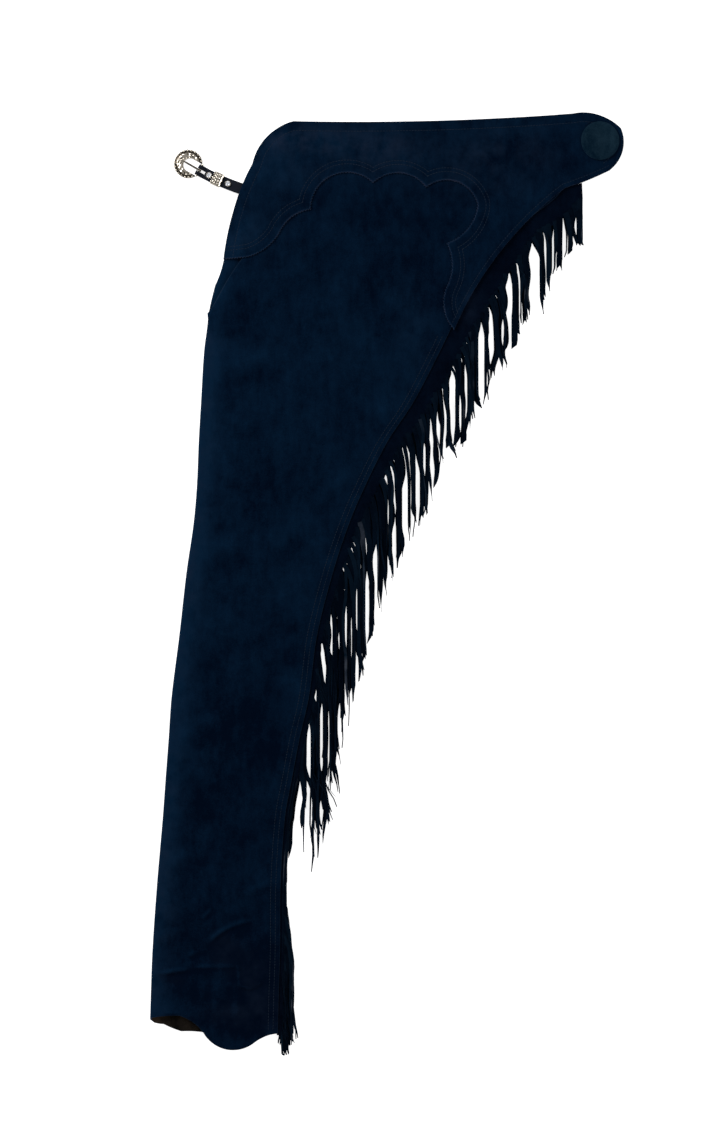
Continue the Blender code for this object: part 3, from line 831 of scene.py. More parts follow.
def near_leg(materials):
    front = [
        unrolled(edge(FRONT_HEM, 3), 1)[1:-1],
        unrolled(seam_edge(HEM_AT_SEAM, SEAM_TOP, 0, 8), 1),
        unrolled(edge(FRONT_RISE, 10), 1),
    ]
    back = [
        unrolled(edge(BACK_HEM, 6), -1)[1:-1],
        unrolled(seam_edge(BACK_HEM[-1][1], SEAM_TOP, 0, 14), -1),
        unrolled(edge(BACK_RISE, 14), -1),
    ]
    hem_fold, crotch_fold = (0, FRONT_HEM[0][1] - 2), (0, CROTCH)
    outline = np.vstack([[hem_fold], *front, [crotch_fold], np.vstack(back)[::-1]])
    ankle_top, clear_of_fold = -345, QUARTER + 1.5
    inner = [
        lattice(outline, 5, 2.2, low=(clear_of_fold, ankle_top)),
        lattice(outline, 2.1, 1.0, low=(clear_of_fold, -1e4), high=(1e4, ankle_top - 1)),
        lattice(outline, 14, 5, high=(-clear_of_fold, 1e4)),
    ]
    heights = np.arange(FRONT_HEM[0][1] + 4, CROTCH - 4, 6)
    inner += [np.stack([np.full(len(heights), QUARTER * k / 3), heights], axis=1) for k in range(-3, 4)]
    points, faces = filled(outline, np.vstack(inner))
    look = [materials["suede"], materials["inside"], materials["cut_edge"]]
    made = new_piece("near_leg_suede", folded(points), faces, look, "near_leg")
    return leather(made, LEG_LEATHER, 0.35)


def runs_inside(path, inset):
    """The stretches of a path moved to its left by inset, without the loops at its corners."""
    moved = path + sideways(path) * inset
    clear = from_path(moved, path)[0] > inset - 0.25
    breaks = np.flatnonzero(np.diff(clear.astype(int))) + 1
    runs = zip(np.split(moved, breaks), np.split(clear, breaks))
    return [run for run, kept in runs if kept[0] and len(run) > 6]


def pinked(path, tooth=3.2, depth=1.3):
    """The path cut in small teeth."""
    path = even(path, tooth / 2)
    inward = sideways(path)
    inward[::2] = 0
    inward[[0, -1]] = 0
    return path + inward * depth


def top_line():
    """The yoke's waist and front edges, evenly stepped."""
    return even(edge(YOKE_OUTER[2:], 4), 2)


def seam_line():
    """The yoke's edge along the outer seam, evenly stepped."""
    return even(edge(YOKE_OUTER[:3], 4), 2)


def scallop_line():
    return even(edge(YOKE_SCALLOPS, 2), 1.5)


def yoke_seams():
    """Every line of stitches on the yoke."""
    found = runs_inside(scallop_line(), 10.2) + runs_inside(scallop_line(), 14.4)
    found += runs_inside(top_line(), 10.6) + runs_inside(seam_line(), 5.0)
    outline = np.vstack([scallop_line()[:-1], edge(YOKE_OUTER, 4)])
    clear = [run[inside(run, outline) & (from_path(run, outline)[0] > 3.5)] for run in found]
    return [run for run in clear if len(run) > 6]


def yoke_surface(points):
    """The yoke with its stitch lines sunk in."""
    z = yoke_z(points)
    for run in yoke_seams():
        z = z - 0.38 * np.exp(-((from_path(points, run)[0] / 0.9) ** 2))
    return z


def yoke(materials):
    teeth = pinked(edge(YOKE_SCALLOPS, 2))
    outline = np.vstack([teeth[:-1], edge(YOKE_OUTER, 5)[:-1]])
    seams = yoke_seams()
    sunk = [run + sideways(run) * offset for run in map(lambda line: even(line, 3), seams) for offset in (-1.1, 0, 1.1)]
    sunk = np.vstack(sunk)
    sunk = sunk[inside(sunk, outline)]
    sunk = sunk[from_path(sunk, np.vstack([outline, outline[:1]]))[0] > 1.2]
    scallops = scallop_line()
    behind_teeth = scallops + sideways(scallops) * 2.6
    behind_teeth = behind_teeth[from_path(behind_teeth, scallops)[0] > 2.2]
    inner = lattice(outline, 4, 1.6)
    for run in seams + [behind_teeth]:
        inner = inner[from_path(inner, run)[0] > 2.0]
    points, faces = filled(outline, np.vstack([inner, sunk, behind_teeth[inside(behind_teeth, outline)]]))
    spots = np.column_stack([points, yoke_surface(points)])
    look = [materials["suede"], materials["inside"], materials["pinked_edge"]]
    made = new_piece("yoke_suede", spots, faces, look, "yoke")
    tones = [layer.data for layer in made.data.attributes if layer.name in ("lightness", "purple")]
    # Painted highlight: the top surface along the pinked edge is made lighter and lilac, where the edge catches the
    # light.
    for index in np.flatnonzero(from_path(points, scallops)[0] < 1.7):
        tones[0][index].value += 1.3
        tones[1][index].value += 0.9
    return leather(made, YOKE_LEATHER, 0.5)


def rosette(materials):
    turns = np.linspace(0, 2 * math.pi, 97)[:-1]
    outline = np.array(ROSETTE_CENTRE) + ROSETTE_RADIUS * np.stack([np.cos(turns), np.sin(turns)], axis=1)
    points, faces = filled(outline, lattice(outline, 2.5, 1.2))
    from_middle = np.linalg.norm(points - np.array(ROSETTE_CENTRE), axis=1) / ROSETTE_RADIUS
    lift = YOKE_LEATHER / 2 + GAP + ROSETTE_DEPTH / 2
    dome = 0.5 * (1 - from_middle**2) - 0.3 * smooth((from_middle - 0.88) / 0.12)
    spots = np.column_stack([points, yoke_z(points) + lift + dome])
    look = [materials["rosette"], materials["inside"], materials["rosette"]]
    made = new_piece("rosette_suede", spots, faces, look, "rosette")
    return leather(made, ROSETTE_DEPTH, 0.7)


def stitches(name, runs, surface, materials, pitch=3.3, length=2.5, radius=0.36):
    """Short rounded stitches lying end to end along each run, as one mesh."""
    stations, profile = np.array((-1, -0.6, 0, 0.6, 1)), np.array((0.35, 0.85, 1, 0.85, 0.35))
    turns = np.linspace(0, 2 * math.pi, 7)[:-1]
    spots, faces = [], []
    for run in runs:
        centres = even(run, pitch)
        ahead = np.gradient(centres, axis=0)
        ahead /= np.linalg.norm(ahead, axis=1)[:, None]
        heights = surface(centres) + radius * 0.45
        for middle, way, z in zip(centres, ahead, heights):
            start = len(spots)
            for station, size in zip(stations, profile):
                for turn in turns:
                    across = radius * size * math.cos(turn)
                    x = middle[0] + way[0] * station * length / 2 - way[1] * across
                    y = middle[1] + way[1] * station * length / 2 + way[0] * across
                    spots.append((x, y, z + radius * size * math.sin(turn) - 0.3 * radius * station**2))
            for ring in range(4):
                for k in range(6):
                    a, b = start + ring * 6 + k, start + ring * 6 + (k + 1) % 6
                    faces.append((a, b, b + 6, a + 6))
            faces.append(range(start + 5, start - 1, -1))
            faces.append(range(start + 24, start + 30))
    made = new_piece(name, spots, faces, [materials["thread"]], None)
    return made


def leg_stitches(materials):
    top = YOKE_SCALLOPS[-1][1] - 8
    rows = [seam_edge(HEM_AT_SEAM + 6, top, -inset, 6) for inset in (5.5, 11.0)]
    return stitches("leg_seam_stitches", rows, lambda p: front_z(p) + LEG_LEATHER / 2, materials)


def yoke_stitches(materials):
    return stitches("yoke_stitches", yoke_seams(), lambda p: yoke_surface(p) + YOKE_LEATHER / 2, materials)


def far_outline():
    outline = [
        edge(FAR_HEM, 6)[:-1],
        seam_edge(FAR_HEM[-1][1], SEAM_TOP, -0.8, 10),
        edge(YOKE_OUTER[1:], 8)[:-1],
        edge(CROTCH_CRESCENT, 4)[:-1],
        fold_edge(FAR_HEM[0][1] + 10, CROTCH - 24, 1.5, 12),
    ]
    return np.vstack(outline)


def far_leg(materials):
    """The hidden layers: three sheets at the edge of one flat slab, each cut a little unevenly."""
    outline = far_outline()
    run = np.roll(outline, -1, axis=0) - np.roll(outline, 1, axis=0)
    run /= np.linalg.norm(run, axis=1)[:, None]
    inward = np.stack([-run[:, 1], run[:, 0]], axis=1)
    count = len(outline)
    spots, faces = [], []
    for level, (inset, height) in enumerate(FAR_EDGE):
        uneven = 0.5 + 0.5 * ripple(outline, 30, 10.0 + level // 5)
        ring = outline + inward * (inset + 0.9 * uneven * (level > 4))[:, None]
        spots.append(np.column_stack([ring, np.full(count, height)]))
        if level:
            low = (level - 1) * count
            faces += [(low + k, low + (k + 1) % count, low + count + (k + 1) % count, low + count + k) for k in range(count)]
    faces.append(range(count - 1, -1, -1))
    rim = spots[-1][:, :2]
    points, top = filled(rim, lattice(rim, 6, 2.5, low=(-215, 296), high=(-140, 420)))
    start = (len(FAR_EDGE) - 1) * count
    spots.append(np.column_stack([points[count:], np.full(len(points) - count, FAR_TOP)]))
    faces += [[start + k for k in face] for face in top]
    made = new_piece("far_leg_layers", np.vstack(spots), faces, [materials["suede"]], "far_leg", smooth_angle=70)
    return made


# The fringe


def lowest_tip(across):
    """How far down a strand may hang at each place across the fringe."""
    path = edge(FRINGE_REACH, 8)
    path = path[path[:, 1] < 393]
    return np.interp(across + 2.6, path[:, 0], path[:, 1])


def fringe_seam(outset, spacing):
    """The line that the fringe hangs from: the leg's outer seam, then the tab's lower edge to its corner."""
    seam = seam_edge(HEM_AT_SEAM - 2, SEAM_TOP, outset, spacing)
    return even(np.vstack([seam, [(211, 454.5 + outset / 4), (223, 458.5 + outset / 4)]]), spacing)


def header_width(heights):
    """How much of the fringe strip is left uncut below the seam."""
    return np.interp(heights, (-520, -100, 0, 100, 200, 290, 350, 390, 420, 450, 459), (4, 5, 8, 13, 18, 22, 26, 22, 20, 24, 16))


def header(name, materials, node_name, high, low, seed):
    """The uncut strip of the fringe, falling from the seam."""
    seam = fringe_seam(-1.2, 6)
    away = -sideways(seam)
    wide = 2 + header_width(seam[:, 1]) + 2.5 * ripple(seam, 9, seed)
    cut_line = seam + away * wide[:, None]
    cut_line[:, 0] = np.minimum(cut_line[:, 0], 224)
    outline = np.vstack([cut_line, seam[::-1]])
    points, faces = filled(outline, lattice(outline, 5, 2))
    past_seam = from_path(points, seam)[0]
    z = high - (high - low) * smooth(past_seam / 22) + 0.25 * ripple(points, 12, seed)
    look = [materials["header"], materials["header"], materials["header"]]
    made = new_piece(name, np.column_stack([points, z]), faces, look, node_name)
    return leather(made, 1.2, 0.3)


# White slits between clumps of strands: x, upper and lower y, half width
SLITS = (
    (216, 436, 392, 1.5),
    (202, 428, 356, 1.5),
    (190, 418, 345, 1.2),
    (181, 408, 330, 1.6),
    (152, 370, 300, 0.8),
    (101, 296, 190, 1.0),
    (50, 190, 130, 1.0),
    (29, 140, 90, 0.9),
    (2, 60, 10, 0.9),
    (-28, 20, -40, 0.8),
    (-40, -20, -90, 0.8),
    (-61, -130, -200, 1.3),
    (-81, -140, -230, 1.4),
    (-95, -175, -250, 1.4),
    (-86, -225, -280, 1.5),
    (-65, -200, -260, 1.5),
    (-94, -300, -345, 1.2),
    (167.7, 398, 250, 7.6),
    (139.3, 363, 262, 3.8),
    (132.8, 319, 270, 1.6),
    (118.8, 321, 244, 2.7),
    (127.9, 270, 180, 4.0),
    (108.3, 308, 205, 3.6),
    (90.8, 262, 190, 1.6),
    (83.2, 230, 150, 2.5),
    (74.4, 254, 160, 4.2),
    (67.8, 216, 130, 1.1),
    (58, 212, 165, 1.1),
    (43.4, 179, 120, 1.5),
    (35.7, 150, 60, 2.6),
    (21, 133, 54, 3.4),
    (8.7, 83, 28, 2.6),
    (-0.9, 6, -30, 2.0),
    (-13.1, 55, -46, 2.8),
    (-21.8, 25, -62, 2.4),
    (-34, 13, -59, 0.9),
    (-33.2, -74, -125, 2.4),
    (-46.3, -12, -71, 1.2),
    (-54.1, -43, -76, 1.0),
    (-58.5, -12, -73, 1.4),
    (-63.2, -19, -85, 1.8),
    (-69, -36, -65, 1.0),
    (-74.4, -55, -120, 3.3),
    (-83.4, -94, -137, 3.8),
    (-53.7, -124, -185, 2.2),
    (-67.3, -127, -238, 2.3),
    (-74.2, -122, -218, 1.8),
    (-88.3, -146, -218, 2.0),
    (-102, -167, -349, 4.0),
    (-91.8, -216, -290, 1.7),
    (-74.2, -235, -280, 2.6),
    (-81, -262, -300, 2.0),
    (-98.3, -295, -349, 2.0),
    (-87, -285, -340, 2.4),
    (-115, -262, -350, 0.9),
    (-106, -355, -412, 2.6),
)


def parted(across, heights, half_width):
    """Moves a strand's stations to one side of each slit that it would cross."""
    for x, high, low, half in SLITS:
        beside = smooth((high - heights) / 26) * smooth((heights - low + 16) / 30)
        if beside.max() < 0.2:
            continue
        middle = across[int(np.argmax(beside > 0.15))]
        side = 1 if middle > x else -1
        push = np.clip(half + half_width - side * (across - x), 0, 9)
        across = across + side * push * beside
    return across


LANE = 6.4
STATIONS = 19
SECTION = ((-0.5, 0), (-0.4, -0.5), (0.4, -0.5), (0.5, 0), (0.4, 0.5), (-0.4, 0.5))


def strand(root, away, rng, height_at_root, rest, spare):
    """One strand: (centre line, width, roll, lightness) at each station. It leaves the seam squarely and hangs."""
    bend = rng.uniform(4, 13)
    natural = root[0] + away[0] * bend * 0.9
    lane = round(natural / LANE)
    target = lane * LANE + rng.normal(0, 0.8) if rng.random() < 0.75 else natural + rng.normal(0, 2)
    lean = rng.normal(0.3, 1.4)
    drifts = -185 < root[1] < -10
    if drifts:
        lean = float(np.clip(rng.uniform(-98, -54) - target, -3, 24))
    longest = float(np.interp(root[1], (-520, -345, -165, -60, 60, 290), (150, 160, 192, 184, 164, 150)))
    tip_y = max(float(lowest_tip(target + lean)), root[1] - longest)
    length = max(root[1] - tip_y, 26) * (1 - 0.34 * rng.random() ** 3)
    s = np.linspace(0, 1, STATIONS)
    along = s * length
    settle = 1 - np.exp(-along / bend) * (1 + along / bend * 0.4)
    wave = rng.uniform(0.2, 1.1) * np.sin(2 * math.pi * along / rng.uniform(40, 90) + lane) * smooth(along / 30)
    x = root[0] + (target - root[0]) * settle + wave + lean * s**1.7
    y = root[1] - along
    high = float(smooth((root[1] - 250) / 120))
    wide = rng.uniform(3.4 + 1.2 * high, 6.2 + 0.4 * high) * (1 + 0.14 * np.sin(2 * math.pi * s * rng.uniform(0.7, 1.8) + rng.uniform(0, 6)))
    turn = 0.0
    if rng.random() < 0.5:
        turn = rng.choice((-1, 1)) * math.radians(rng.uniform(35, 165))
    roll = turn * smooth((s - rng.uniform(0.0, 0.4)) / rng.uniform(0.25, 0.6)) + 0.15 * np.sin(5 * s + lane)
    shown = wide * np.sqrt(np.cos(roll) ** 2 + 0.05)
    x = parted(x, y, shown / 2 * 0.85)
    beside_leg = leg_at(y)[1] + 1.6 + shown / 2 * smooth(along / 60) * 0.6
    hugs = float(smooth((-150 - root[1]) / 20) * smooth((root[1] + 372) / 20))
    x = np.minimum(x, 224 - shown / 2)
    x = np.maximum(x - hugs * np.maximum(0, x - beside_leg - 1.0) * smooth(along / 25), beside_leg)
    if rng.random() < 0.14:
        wide = wide * (1 + 0.4 * smooth((s - 0.75) / 0.15))
    tip = smooth((1 - s) / rng.uniform(0.06, 0.26))
    side_cut = rng.choice((-1, 1)) * wide / 2 * (1 - tip) * 0.8
    pale = (rng.random() < 0.16) * rng.uniform(0.8, 2.4) * np.exp(-(((s - rng.uniform(0.3, 1.0)) / 0.16) ** 2))
    lie = rest + 1.15 * rng.integers(0, spare)
    z = height_at_root + (lie - height_at_root) * smooth(along / 42) + np.abs(np.sin(roll)) * wide * 0.35
    centre = np.stack([x + side_cut, y, z + 0.3 * np.sin(3 * s + lane)], axis=1)
    return centre, wide * np.maximum(tip, 0.1), roll, pale + rng.normal(0, 0.45)


def fringe(name, node_name, materials, seed, pitch, root_height, rest, spare):
    """All the strands of one leg's fringe, as one mesh."""
    rng = np.random.default_rng(seed)
    seam = fringe_seam(0.8, pitch)[1:-1]
    away = -sideways(seam)
    roots = seam + away * (header_width(seam[:, 1]) - 2.5)[:, None]
    spots, faces, light = [], [], []
    section = np.array(SECTION)
    hung = []
    for root, out in zip(roots, away):
        tucked_behind = -350 < root[1] < -172 and rng.random() < 0.62
        if tucked_behind:
            continue
        doubled = -170 < root[1] < -20 and rng.random() < 0.55
        hung += [(root, out)] * (2 if doubled else 1)
    for root, out in hung:
        root = root + rng.normal(0, 0.8, 2)
        centre, wide, roll, tone = strand(root, out, rng, root_height, rest, spare)
        ahead = np.gradient(centre, axis=0)
        ahead /= np.linalg.norm(ahead, axis=1)[:, None]
        side = np.stack([-ahead[:, 1], ahead[:, 0], np.zeros(STATIONS)], axis=1)
        side /= np.linalg.norm(side, axis=1)[:, None]
        up = np.cross(ahead, side)
        up *= np.sign(up[:, 2])[:, None]
        flat = side * np.cos(roll)[:, None] + up * np.sin(roll)[:, None]
        thick = up * np.cos(roll)[:, None] - side * np.sin(roll)[:, None]
        start = len(spots) * len(section)
        rings = centre[:, None] + flat[:, None] * (section[:, 0] * wide[:, None])[..., None]
        rings = rings + thick[:, None] * (section[:, 1] * STRAND_LEATHER)[None, :, None]
        sides = len(section)
        for ring in range(STATIONS - 1):
            for k in range(sides):
                a, b = start + ring * sides + k, start + ring * sides + (k + 1) % sides
                faces.append((a, b, b + sides, a + sides))
        faces.append(range(start, start + sides))
        faces.append(range(start + (STATIONS - 1) * sides, start + STATIONS * sides))
        spots += list(rings)
        light += list(np.repeat(np.broadcast_to(tone, (STATIONS,)), sides))
    spots = np.array(spots).reshape(-1, 3)
    spots[:, 2] = np.maximum(spots[:, 2], 0.05)
    made = new_piece(name, spots, faces, [materials["fringe"]], node_name, tones=False, smooth_angle=40)
    paint(made.data, "lightness", light)
    paint(made.data, "purple", np.clip(np.array(light) - 0.9, 0, 1))
    maker = bmesh.new()
    maker.from_mesh(made.data)
    bmesh.ops.recalc_face_normals(maker, faces=maker.faces)
    maker.to_mesh(made.data)
    maker.free()
    return made


# The strap and its hardware


def cut(target, cutter):
    cutter.hide_render = True
    cutter.display_type = "WIRE"
    change = target.modifiers.new("Slot", "BOOLEAN")
    change.operation = "DIFFERENCE"
    change.solver = "EXACT"
    change.object = cutter


def strap(materials):
    """One length folded double round the buckle's bar, its edges pebbled, with a slot for the prong."""
    straight = STRAP_LENGTH - LOOP_TAPER
    stations = [STRAP_LENGTH - straight * k / 40 for k in range(41)] + [LOOP_TAPER * k / 6 for k in range(5, 0, -1)]
    layer = [
        (s, STRAP_SPREAD + (LOOP_RADIUS - STRAP_SPREAD) * (1 - float(smooth(s / LOOP_TAPER)))) for s in stations
    ]
    turns = [math.radians(-90 + 9 * k) for k in range(21)]
    loop = [(-LOOP_RADIUS * math.cos(t), LOOP_RADIUS * math.sin(t)) for t in turns]
    path = [(s, -above) for s, above in layer] + loop + layer[::-1]
    rings = []
    for k, (along, above) in enumerate(path):
        before, after = path[max(k - 1, 0)], path[min(k + 1, len(path) - 1)]
        run = Vector((after[0] - before[0], after[1] - before[1])).normalized()
        ring = []
        for side in range(20):
            turn = 2 * math.pi * (side + 0.5) / 20
            pebble = 1 + 0.035 * noise.noise(Vector((along / 1.4, side, above)))
            across = STRAP_WIDTH / 2 * math.copysign(abs(math.cos(turn)) ** 0.3, math.cos(turn)) * pebble
            out = STRAP_LEATHER / 2 * math.copysign(abs(math.sin(turn)) ** 0.5, math.sin(turn))
            ring.append(on_strap(along - run.y * out, across, above + run.x * out))
        rings.append(ring)
    made = tube("strap_leather_band", rings, False, [materials["strap"]], "strap")
    half = SLOT_WIDTH / 2
    corners = ((-6, -half), (SLOT_LENGTH, -half), (SLOT_LENGTH, half), (-6, half))
    slot_rings = [[on_strap(*corner, height) for corner in corners] for height in (-6, 6)]
    cut(made, tube("prong_slot", slot_rings, False, [materials["strap"]], None))
    return made


def rounded_path(half_width, low, high, corner, step):
    """A closed rounded rectangle, anticlockwise from its lower right: (across, above) points."""
    corners = ((half_width, low), (half_width, high), (-half_width, high), (-half_width, low))
    path = []
    for turn, (x, z) in enumerate(corners):
        centre = (math.copysign(half_width - corner, x), z + (corner if z == low else -corner))
        for k in range(7):
            angle = math.radians(-90 + 90 * turn + 15 * k)
            path.append((centre[0] + corner * math.cos(angle), centre[1] + corner * math.sin(angle)))
    return even(np.array(path + path[:1]), step)[:-1]


def keeper(materials):
    """A ring of silver round the strap: its top is engraved, with three lobes at each edge."""
    half_width = STRAP_WIDTH / 2 + GAP + KEEPER_METAL / 2
    low = -STRAP_SPREAD - STRAP_LEATHER / 2 - GAP - KEEPER_METAL / 2
    high = -low + KEEPER_SLACK
    path = rounded_path(half_width, low, high, 1.4, 0.35)
    count = len(path)
    lengthwise = np.linspace(-1, 1, 25)
    rings, silver_darkness = [], []
    for k, (across, above) in enumerate(path):
        run = path[(k + 1) % count] - path[k - 1]
        run /= np.linalg.norm(run)
        out = np.array((run[1], -run[0]))
        on_top = float(smooth((above - 0.6) / 1.2))
        lobe = abs(math.cos(1.5 * math.pi * across / half_width)) * on_top
        half_length = KEEPER_LENGTH / 2 * (0.86 + 0.16 * lobe)
        ring, marks = [], []
        for v in lengthwise:
            along = v * half_length
            scroll = math.sin(1.15 * across * 1.6 + 2.2 * math.sin(0.9 * along)) * math.cos(0.95 * along)
            border = math.exp(-(((abs(v) - 0.72) / 0.05) ** 2))
            bead = on_top * math.exp(-(((abs(v) - 0.9) / 0.1) ** 2)) * lobe
            height = KEEPER_METAL / 2 + on_top * (0.22 * scroll * (abs(v) < 0.66) + 0.5 * bead - 0.25 * border)
            ring.append(on_strap(KEEPER_AT + along, across + out[0] * height, above + out[1] * height))
            marks.append(on_top * (max(0.0, -scroll) * (abs(v) < 0.66) * 1.1 + 0.9 * border))
        for v in lengthwise[::-1]:
            along = v * half_length
            inner = -KEEPER_METAL / 2
            ring.append(on_strap(KEEPER_AT + along, across + out[0] * inner, above + out[1] * inner))
            marks.append(0.4)
        rings.append(ring)
        silver_darkness += marks
    made = tube("keeper_engraved", rings, True, [materials["silver"]], "keeper", smooth_angle=60)
    paint(made.data, "silver_darkness", silver_darkness)
    return made


def stud(name, along, materials):
    """A faceted crystal in a round silver cup with small claws."""
    lift = STRAP_SPREAD + STRAP_LEATHER / 2 + 0.15
    levels = ((2.9, 0.5, 16, 0.0), (3.0, 1.0, 16, 0.5), (2.2, 1.9, 16, 0.0), (1.35, 2.35, 16, 0.5))
    rings = []
    for radius, height, sides, shift in levels:
        turns = [2 * math.pi * (k + shift) / sides for k in range(sides)]
        rings.append([on_strap(along + radius * math.cos(t), radius * math.sin(t), lift + height) for t in turns])
    gem = tube(f"{name}_crystal", rings, False, [materials["crystal"]], name, smooth_angle=5)
    profile = ((2.7, 0.0), (3.35, 0.0), (3.45, 0.6), (3.35, 1.15), (3.0, 1.3), (2.85, 1.0), (2.8, 0.4))
    rings, silver_darkness = [], []
    for k in range(48):
        turn = 2 * math.pi * k / 48
        claw = max(0.0, math.cos(4 * turn)) ** 6
        ring = []
        for index, (radius, height) in enumerate(profile):
            grown = radius - 0.5 * claw * (index in (4, 5))
            raised = height + 0.7 * claw * (index in (3, 4))
            ring.append(on_strap(along + grown * math.cos(turn), grown * math.sin(turn), lift + raised))
            silver_darkness.append(0.12 * (1 - claw) + 0.3 * (index == 5))
        rings.append(ring)
    cup = tube(f"{name}_cup", rings, True, [materials["silver"]], None, smooth_angle=60)
    paint(cup.data, "silver_darkness", silver_darkness)


BUCKLE_AXES = (
    Matrix.Translation(BAR_CENTRE) @ Matrix.Rotation(BUCKLE_HEADING, 4, "Z") @ Matrix.Rotation(BUCKLE_TILT, 4, "Y")
)


def in_buckle(along, across, above):
    """A point by its place along from the bar, across it and above the buckle's plane."""
    return BUCKLE_AXES @ Vector((along, across, above))


def opening_edge(centre, turns):
    """How far the buckle's opening reaches from a centre, at each turn."""
    outline = edge(BUCKLE_OPENING + BUCKLE_OPENING[:1], 0.4)
    found = []
    for turn in turns:
        way = np.array((math.cos(turn), math.sin(turn)))
        best = 0.0
        for a, b in zip(outline, outline[1:]):
            run = b - a
            cross = way[0] * run[1] - way[1] * run[0]
            if abs(cross) < 1e-9:
                continue
            away = a - np.array(centre)
            reach = (away[0] * run[1] - away[1] * run[0]) / cross
            place = (away[0] * way[1] - away[1] * way[0]) / cross
            if reach > 0 and -1e-6 <= place <= 1 + 1e-6:
                best = max(best, reach)
        found.append(best)
    return found


def buckle_frame(materials):
    """The domed C of the frame, engraved with scrolls and ringed with beads, and its heel bar."""
    centre = (9.0, 0.0)
    last_turn = math.radians(141)
    turns = np.linspace(-last_turn, last_turn, 241)
    stations = np.linspace(0, 1, 27)
    dome_at, dome_height = zip(*BUCKLE_DOME)
    rings, silver_darkness = [], []
    for turn, inner in zip(turns, opening_edge(centre, turns)):
        way = (math.cos(turn), math.sin(turn))
        back = way[0] * (centre[0] - BUCKLE_CENTRE)
        outer = -back + math.sqrt(back**2 - (centre[0] - BUCKLE_CENTRE) ** 2 + (BUCKLE_RADIUS - 0.7) ** 2)
        inner = min(inner + 0.1, outer - 0.6)
        ring, marks = [], []
        for t in stations:
            reach = inner + (outer - inner) * t
            x, y = centre[0] + way[0] * reach, way[1] * reach
            radius = math.hypot(x - BUCKLE_CENTRE, y)
            around = math.atan2(y, x - BUCKLE_CENTRE)
            band = float(smooth((radius - 4.5) / 1.2) * smooth((12.9 - radius) / 0.8)) * float(smooth(t / 0.16))
            petals = math.sin(9 * around + 1.9 * math.sin(0.95 * radius)) * math.cos(0.75 * radius + 1.5 * math.sin(5 * around))
            fine = math.sin(31 * around + 2.5 * radius) * 0.25
            ditch = math.exp(-(((radius - 13.1) / 0.4) ** 2))
            height = float(np.interp(radius, dome_at, dome_height))
            height += band * (0.42 * petals + 0.1 * fine) - 0.4 * ditch
            height -= 0.5 * (1 - math.sin(math.pi * min(1.0, t / 0.1) / 2)) + 0.8 * float(smooth((radius - 13.2) / 1.2))
            ring.append(in_buckle(x, y, height))
            marks.append(band * max(0.0, -petals - 0.1) * 1.3 + 0.8 * ditch + float(smooth((radius - 13.1) / 0.4)))
        for t in (1.0, 0.66, 0.33, 0.0):
            reach = inner + (outer - inner) * t
            ring.append(in_buckle(centre[0] + way[0] * reach, way[1] * reach, BUCKLE_UNDERSIDE + 0.15))
            marks.append(0.5)
        rings.append(ring)
        silver_darkness += marks
    made = tube("buckle_frame_engraved", rings, False, [materials["silver"]], "buckle_frame", "buckle", smooth_angle=60)
    paint(made.data, "silver_darkness", silver_darkness)
    bar_turns = [2 * math.pi * k / 24 for k in range(24)]
    rings = [
        [in_buckle(BAR_RADIUS * math.cos(t), across, BAR_RADIUS * math.sin(t)) for t in bar_turns]
        for across in (-BAR_LENGTH / 2, BAR_LENGTH / 2)
    ]
    bar = tube("buckle_bar", rings, False, [materials["silver"]], None, "buckle")
    beads = buckle_beads(materials)
    return [made, bar, beads]


def buckle_beads(materials, count=22, radius=1.42):
    """A ring of beads round the frame's rim, as one mesh, stopping at the strap."""
    maker = bmesh.new()
    for k in range(count):
        turn = 2 * math.pi * (k + 0.5) / count
        x = BUCKLE_CENTRE + (BUCKLE_RADIUS - radius) * math.cos(turn)
        y = (BUCKLE_RADIUS - radius) * math.sin(turn)
        if x < 1.2:
            continue
        place = Matrix.Translation(in_buckle(x, y, 0.75) * MM) @ Matrix.Scale(0.8, 4, (0, 0, 1))
        bmesh.ops.create_uvsphere(maker, u_segments=16, v_segments=10, radius=radius * MM, matrix=place)
    mesh = bpy.data.meshes.new("buckle_beads")
    maker.to_mesh(mesh)
    maker.free()
    mesh.materials.append(materials["silver"])
    mesh.shade_smooth()
    made = bpy.data.objects.new("buckle_beads", mesh)
    bpy.context.scene.collection.objects.link(made)
    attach(made, "buckle")
    return made


def buckle_prong(materials):
    """A tapered prong whose eye wraps the heel bar."""
    turns = [math.radians(-50 - 11 * k) for k in range(21)]
    reach = even(np.array(PRONG_REACH), 0.7)
    path = np.vstack([[(PRONG_EYE * math.cos(t), PRONG_EYE * math.sin(t)) for t in turns], reach])
    run = np.gradient(path, axis=0)
    run /= np.linalg.norm(run, axis=1)[:, None]
    last = path[-1, 0]
    rings = []
    for (along, above), way in zip(path, run):
        taper = 1 - 0.45 * float(smooth((along - 14) / (last - 14)))
        ring = []
        for k in range(14):
            turn = 2 * math.pi * k / 14
            out = PRONG_HALF_DEPTH * math.sin(turn) * 1.1
            across = PRONG_HALF_WIDTH * taper * math.cos(turn)
            ring.append(in_buckle(along - way[1] * out, across, above + way[0] * out))
        rings.append(ring)
    made = tube("buckle_prong_bright", rings, False, [materials["silver"]], "buckle_prong", "prong", smooth_angle=60)
    # The whole prong gets a dark tone, though it has no recess.
    paint(made.data, "silver_darkness", np.full(len(made.data.vertices), 0.7))


# Stage


CAMERA_OVER = (-30.2, 14.3)
LENS = 85
VIEW_HEIGHT = 1144 * 1.14
SENSOR = 36


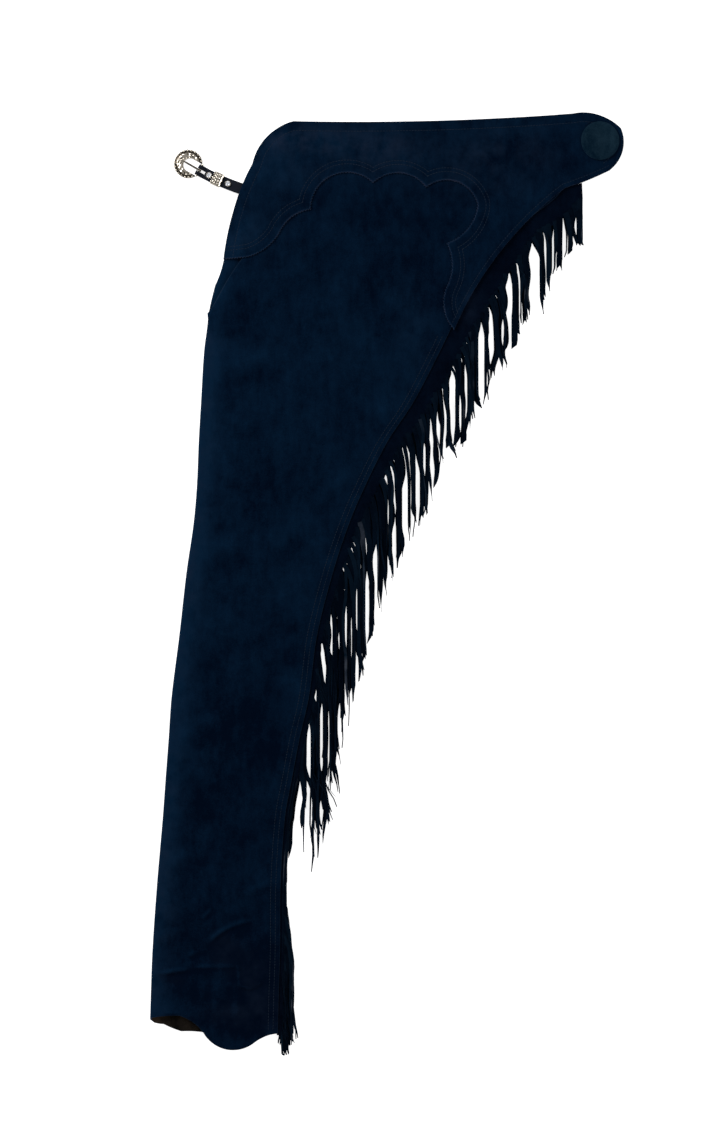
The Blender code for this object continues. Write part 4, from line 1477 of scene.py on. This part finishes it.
def stage():
    """A white floor, a large soft key from the upper left, a weaker fill and a pale sky."""
    size = 8
    mesh = bpy.data.meshes.new("floor")
    mesh.from_pydata([(-size, -size, 0), (size, -size, 0), (size, size, 0), (-size, size, 0)], [], [(0, 1, 2, 3)])
    material, tree, shader = new_material("white_floor")
    shader.inputs["Base Color"].default_value = (0.6, 0.6, 0.6, 1)
    shader.inputs["Roughness"].default_value = 1.0
    shader.inputs["Specular IOR Level"].default_value = 0.0
    shader.inputs["Emission Color"].default_value = (1, 1, 1, 1)
    shader.inputs["Emission Strength"].default_value = 0.8
    mesh.materials.append(material)
    floor = bpy.data.objects.new("floor", mesh)
    floor.location.z = -0.0004
    bpy.context.scene.collection.objects.link(floor)

    world = bpy.data.worlds.new("studio")
    world.use_nodes = True
    world.node_tree.nodes["Background"].inputs["Color"].default_value = (1, 1, 1, 1)
    world.node_tree.nodes["Background"].inputs["Strength"].default_value = 0.55
    bpy.context.scene.world = world

    for name, place, width, power in (
        ("key", (-1.7, 1.5, 1.5), 1.0, 62),
        ("fill", (1.6, -1.2, 2.2), 1.6, 22),
    ):
        light = bpy.data.lights.new(name, "AREA")
        light.size = width
        light.energy = power
        lamp = bpy.data.objects.new(name, light)
        lamp.location = place
        lamp.rotation_euler = (-Vector(place)).to_track_quat("-Z", "Y").to_euler()
        bpy.context.scene.collection.objects.link(lamp)


def camera():
    lens = bpy.data.cameras.new("camera")
    lens.lens = LENS
    lens.sensor_width = SENSOR
    lens.sensor_fit = "AUTO"
    made = bpy.data.objects.new("camera", lens)
    distance = VIEW_HEIGHT * LENS / SENSOR
    made.location = Vector((*CAMERA_OVER, distance + 8)) * MM
    bpy.context.scene.collection.objects.link(made)
    bpy.context.scene.camera = made
    bpy.context.scene.view_settings.view_transform = "Standard"


def main():
    stage()
    camera()
    materials = make_materials()
    far_leg(materials)
    far_header = header("far_fringe_header", materials, "far_fringe", 1.9, 1.1, 4.4)
    far_strands = fringe("far_fringe_strands", "far_fringe", materials, 23, 8.2, 1.5, 0.75, 2)
    leg = near_leg(materials)
    near_header = header("near_fringe_header", materials, "near_fringe", 6.4, 4.9, 9.1)
    near_strands = fringe("near_fringe_strands", "near_fringe", materials, 11, 6.6, 5.6, 2.6, 3)
    top = yoke(materials)
    patch = rosette(materials)
    leg_thread = leg_stitches(materials)
    yoke_thread = yoke_stitches(materials)
    strap(materials)
    keeper(materials)
    for number, along in enumerate(STUDS_AT, 1):
        stud(f"stud_{number}", along, materials)
    buckle_frame(materials)
    buckle_prong(materials)


main()
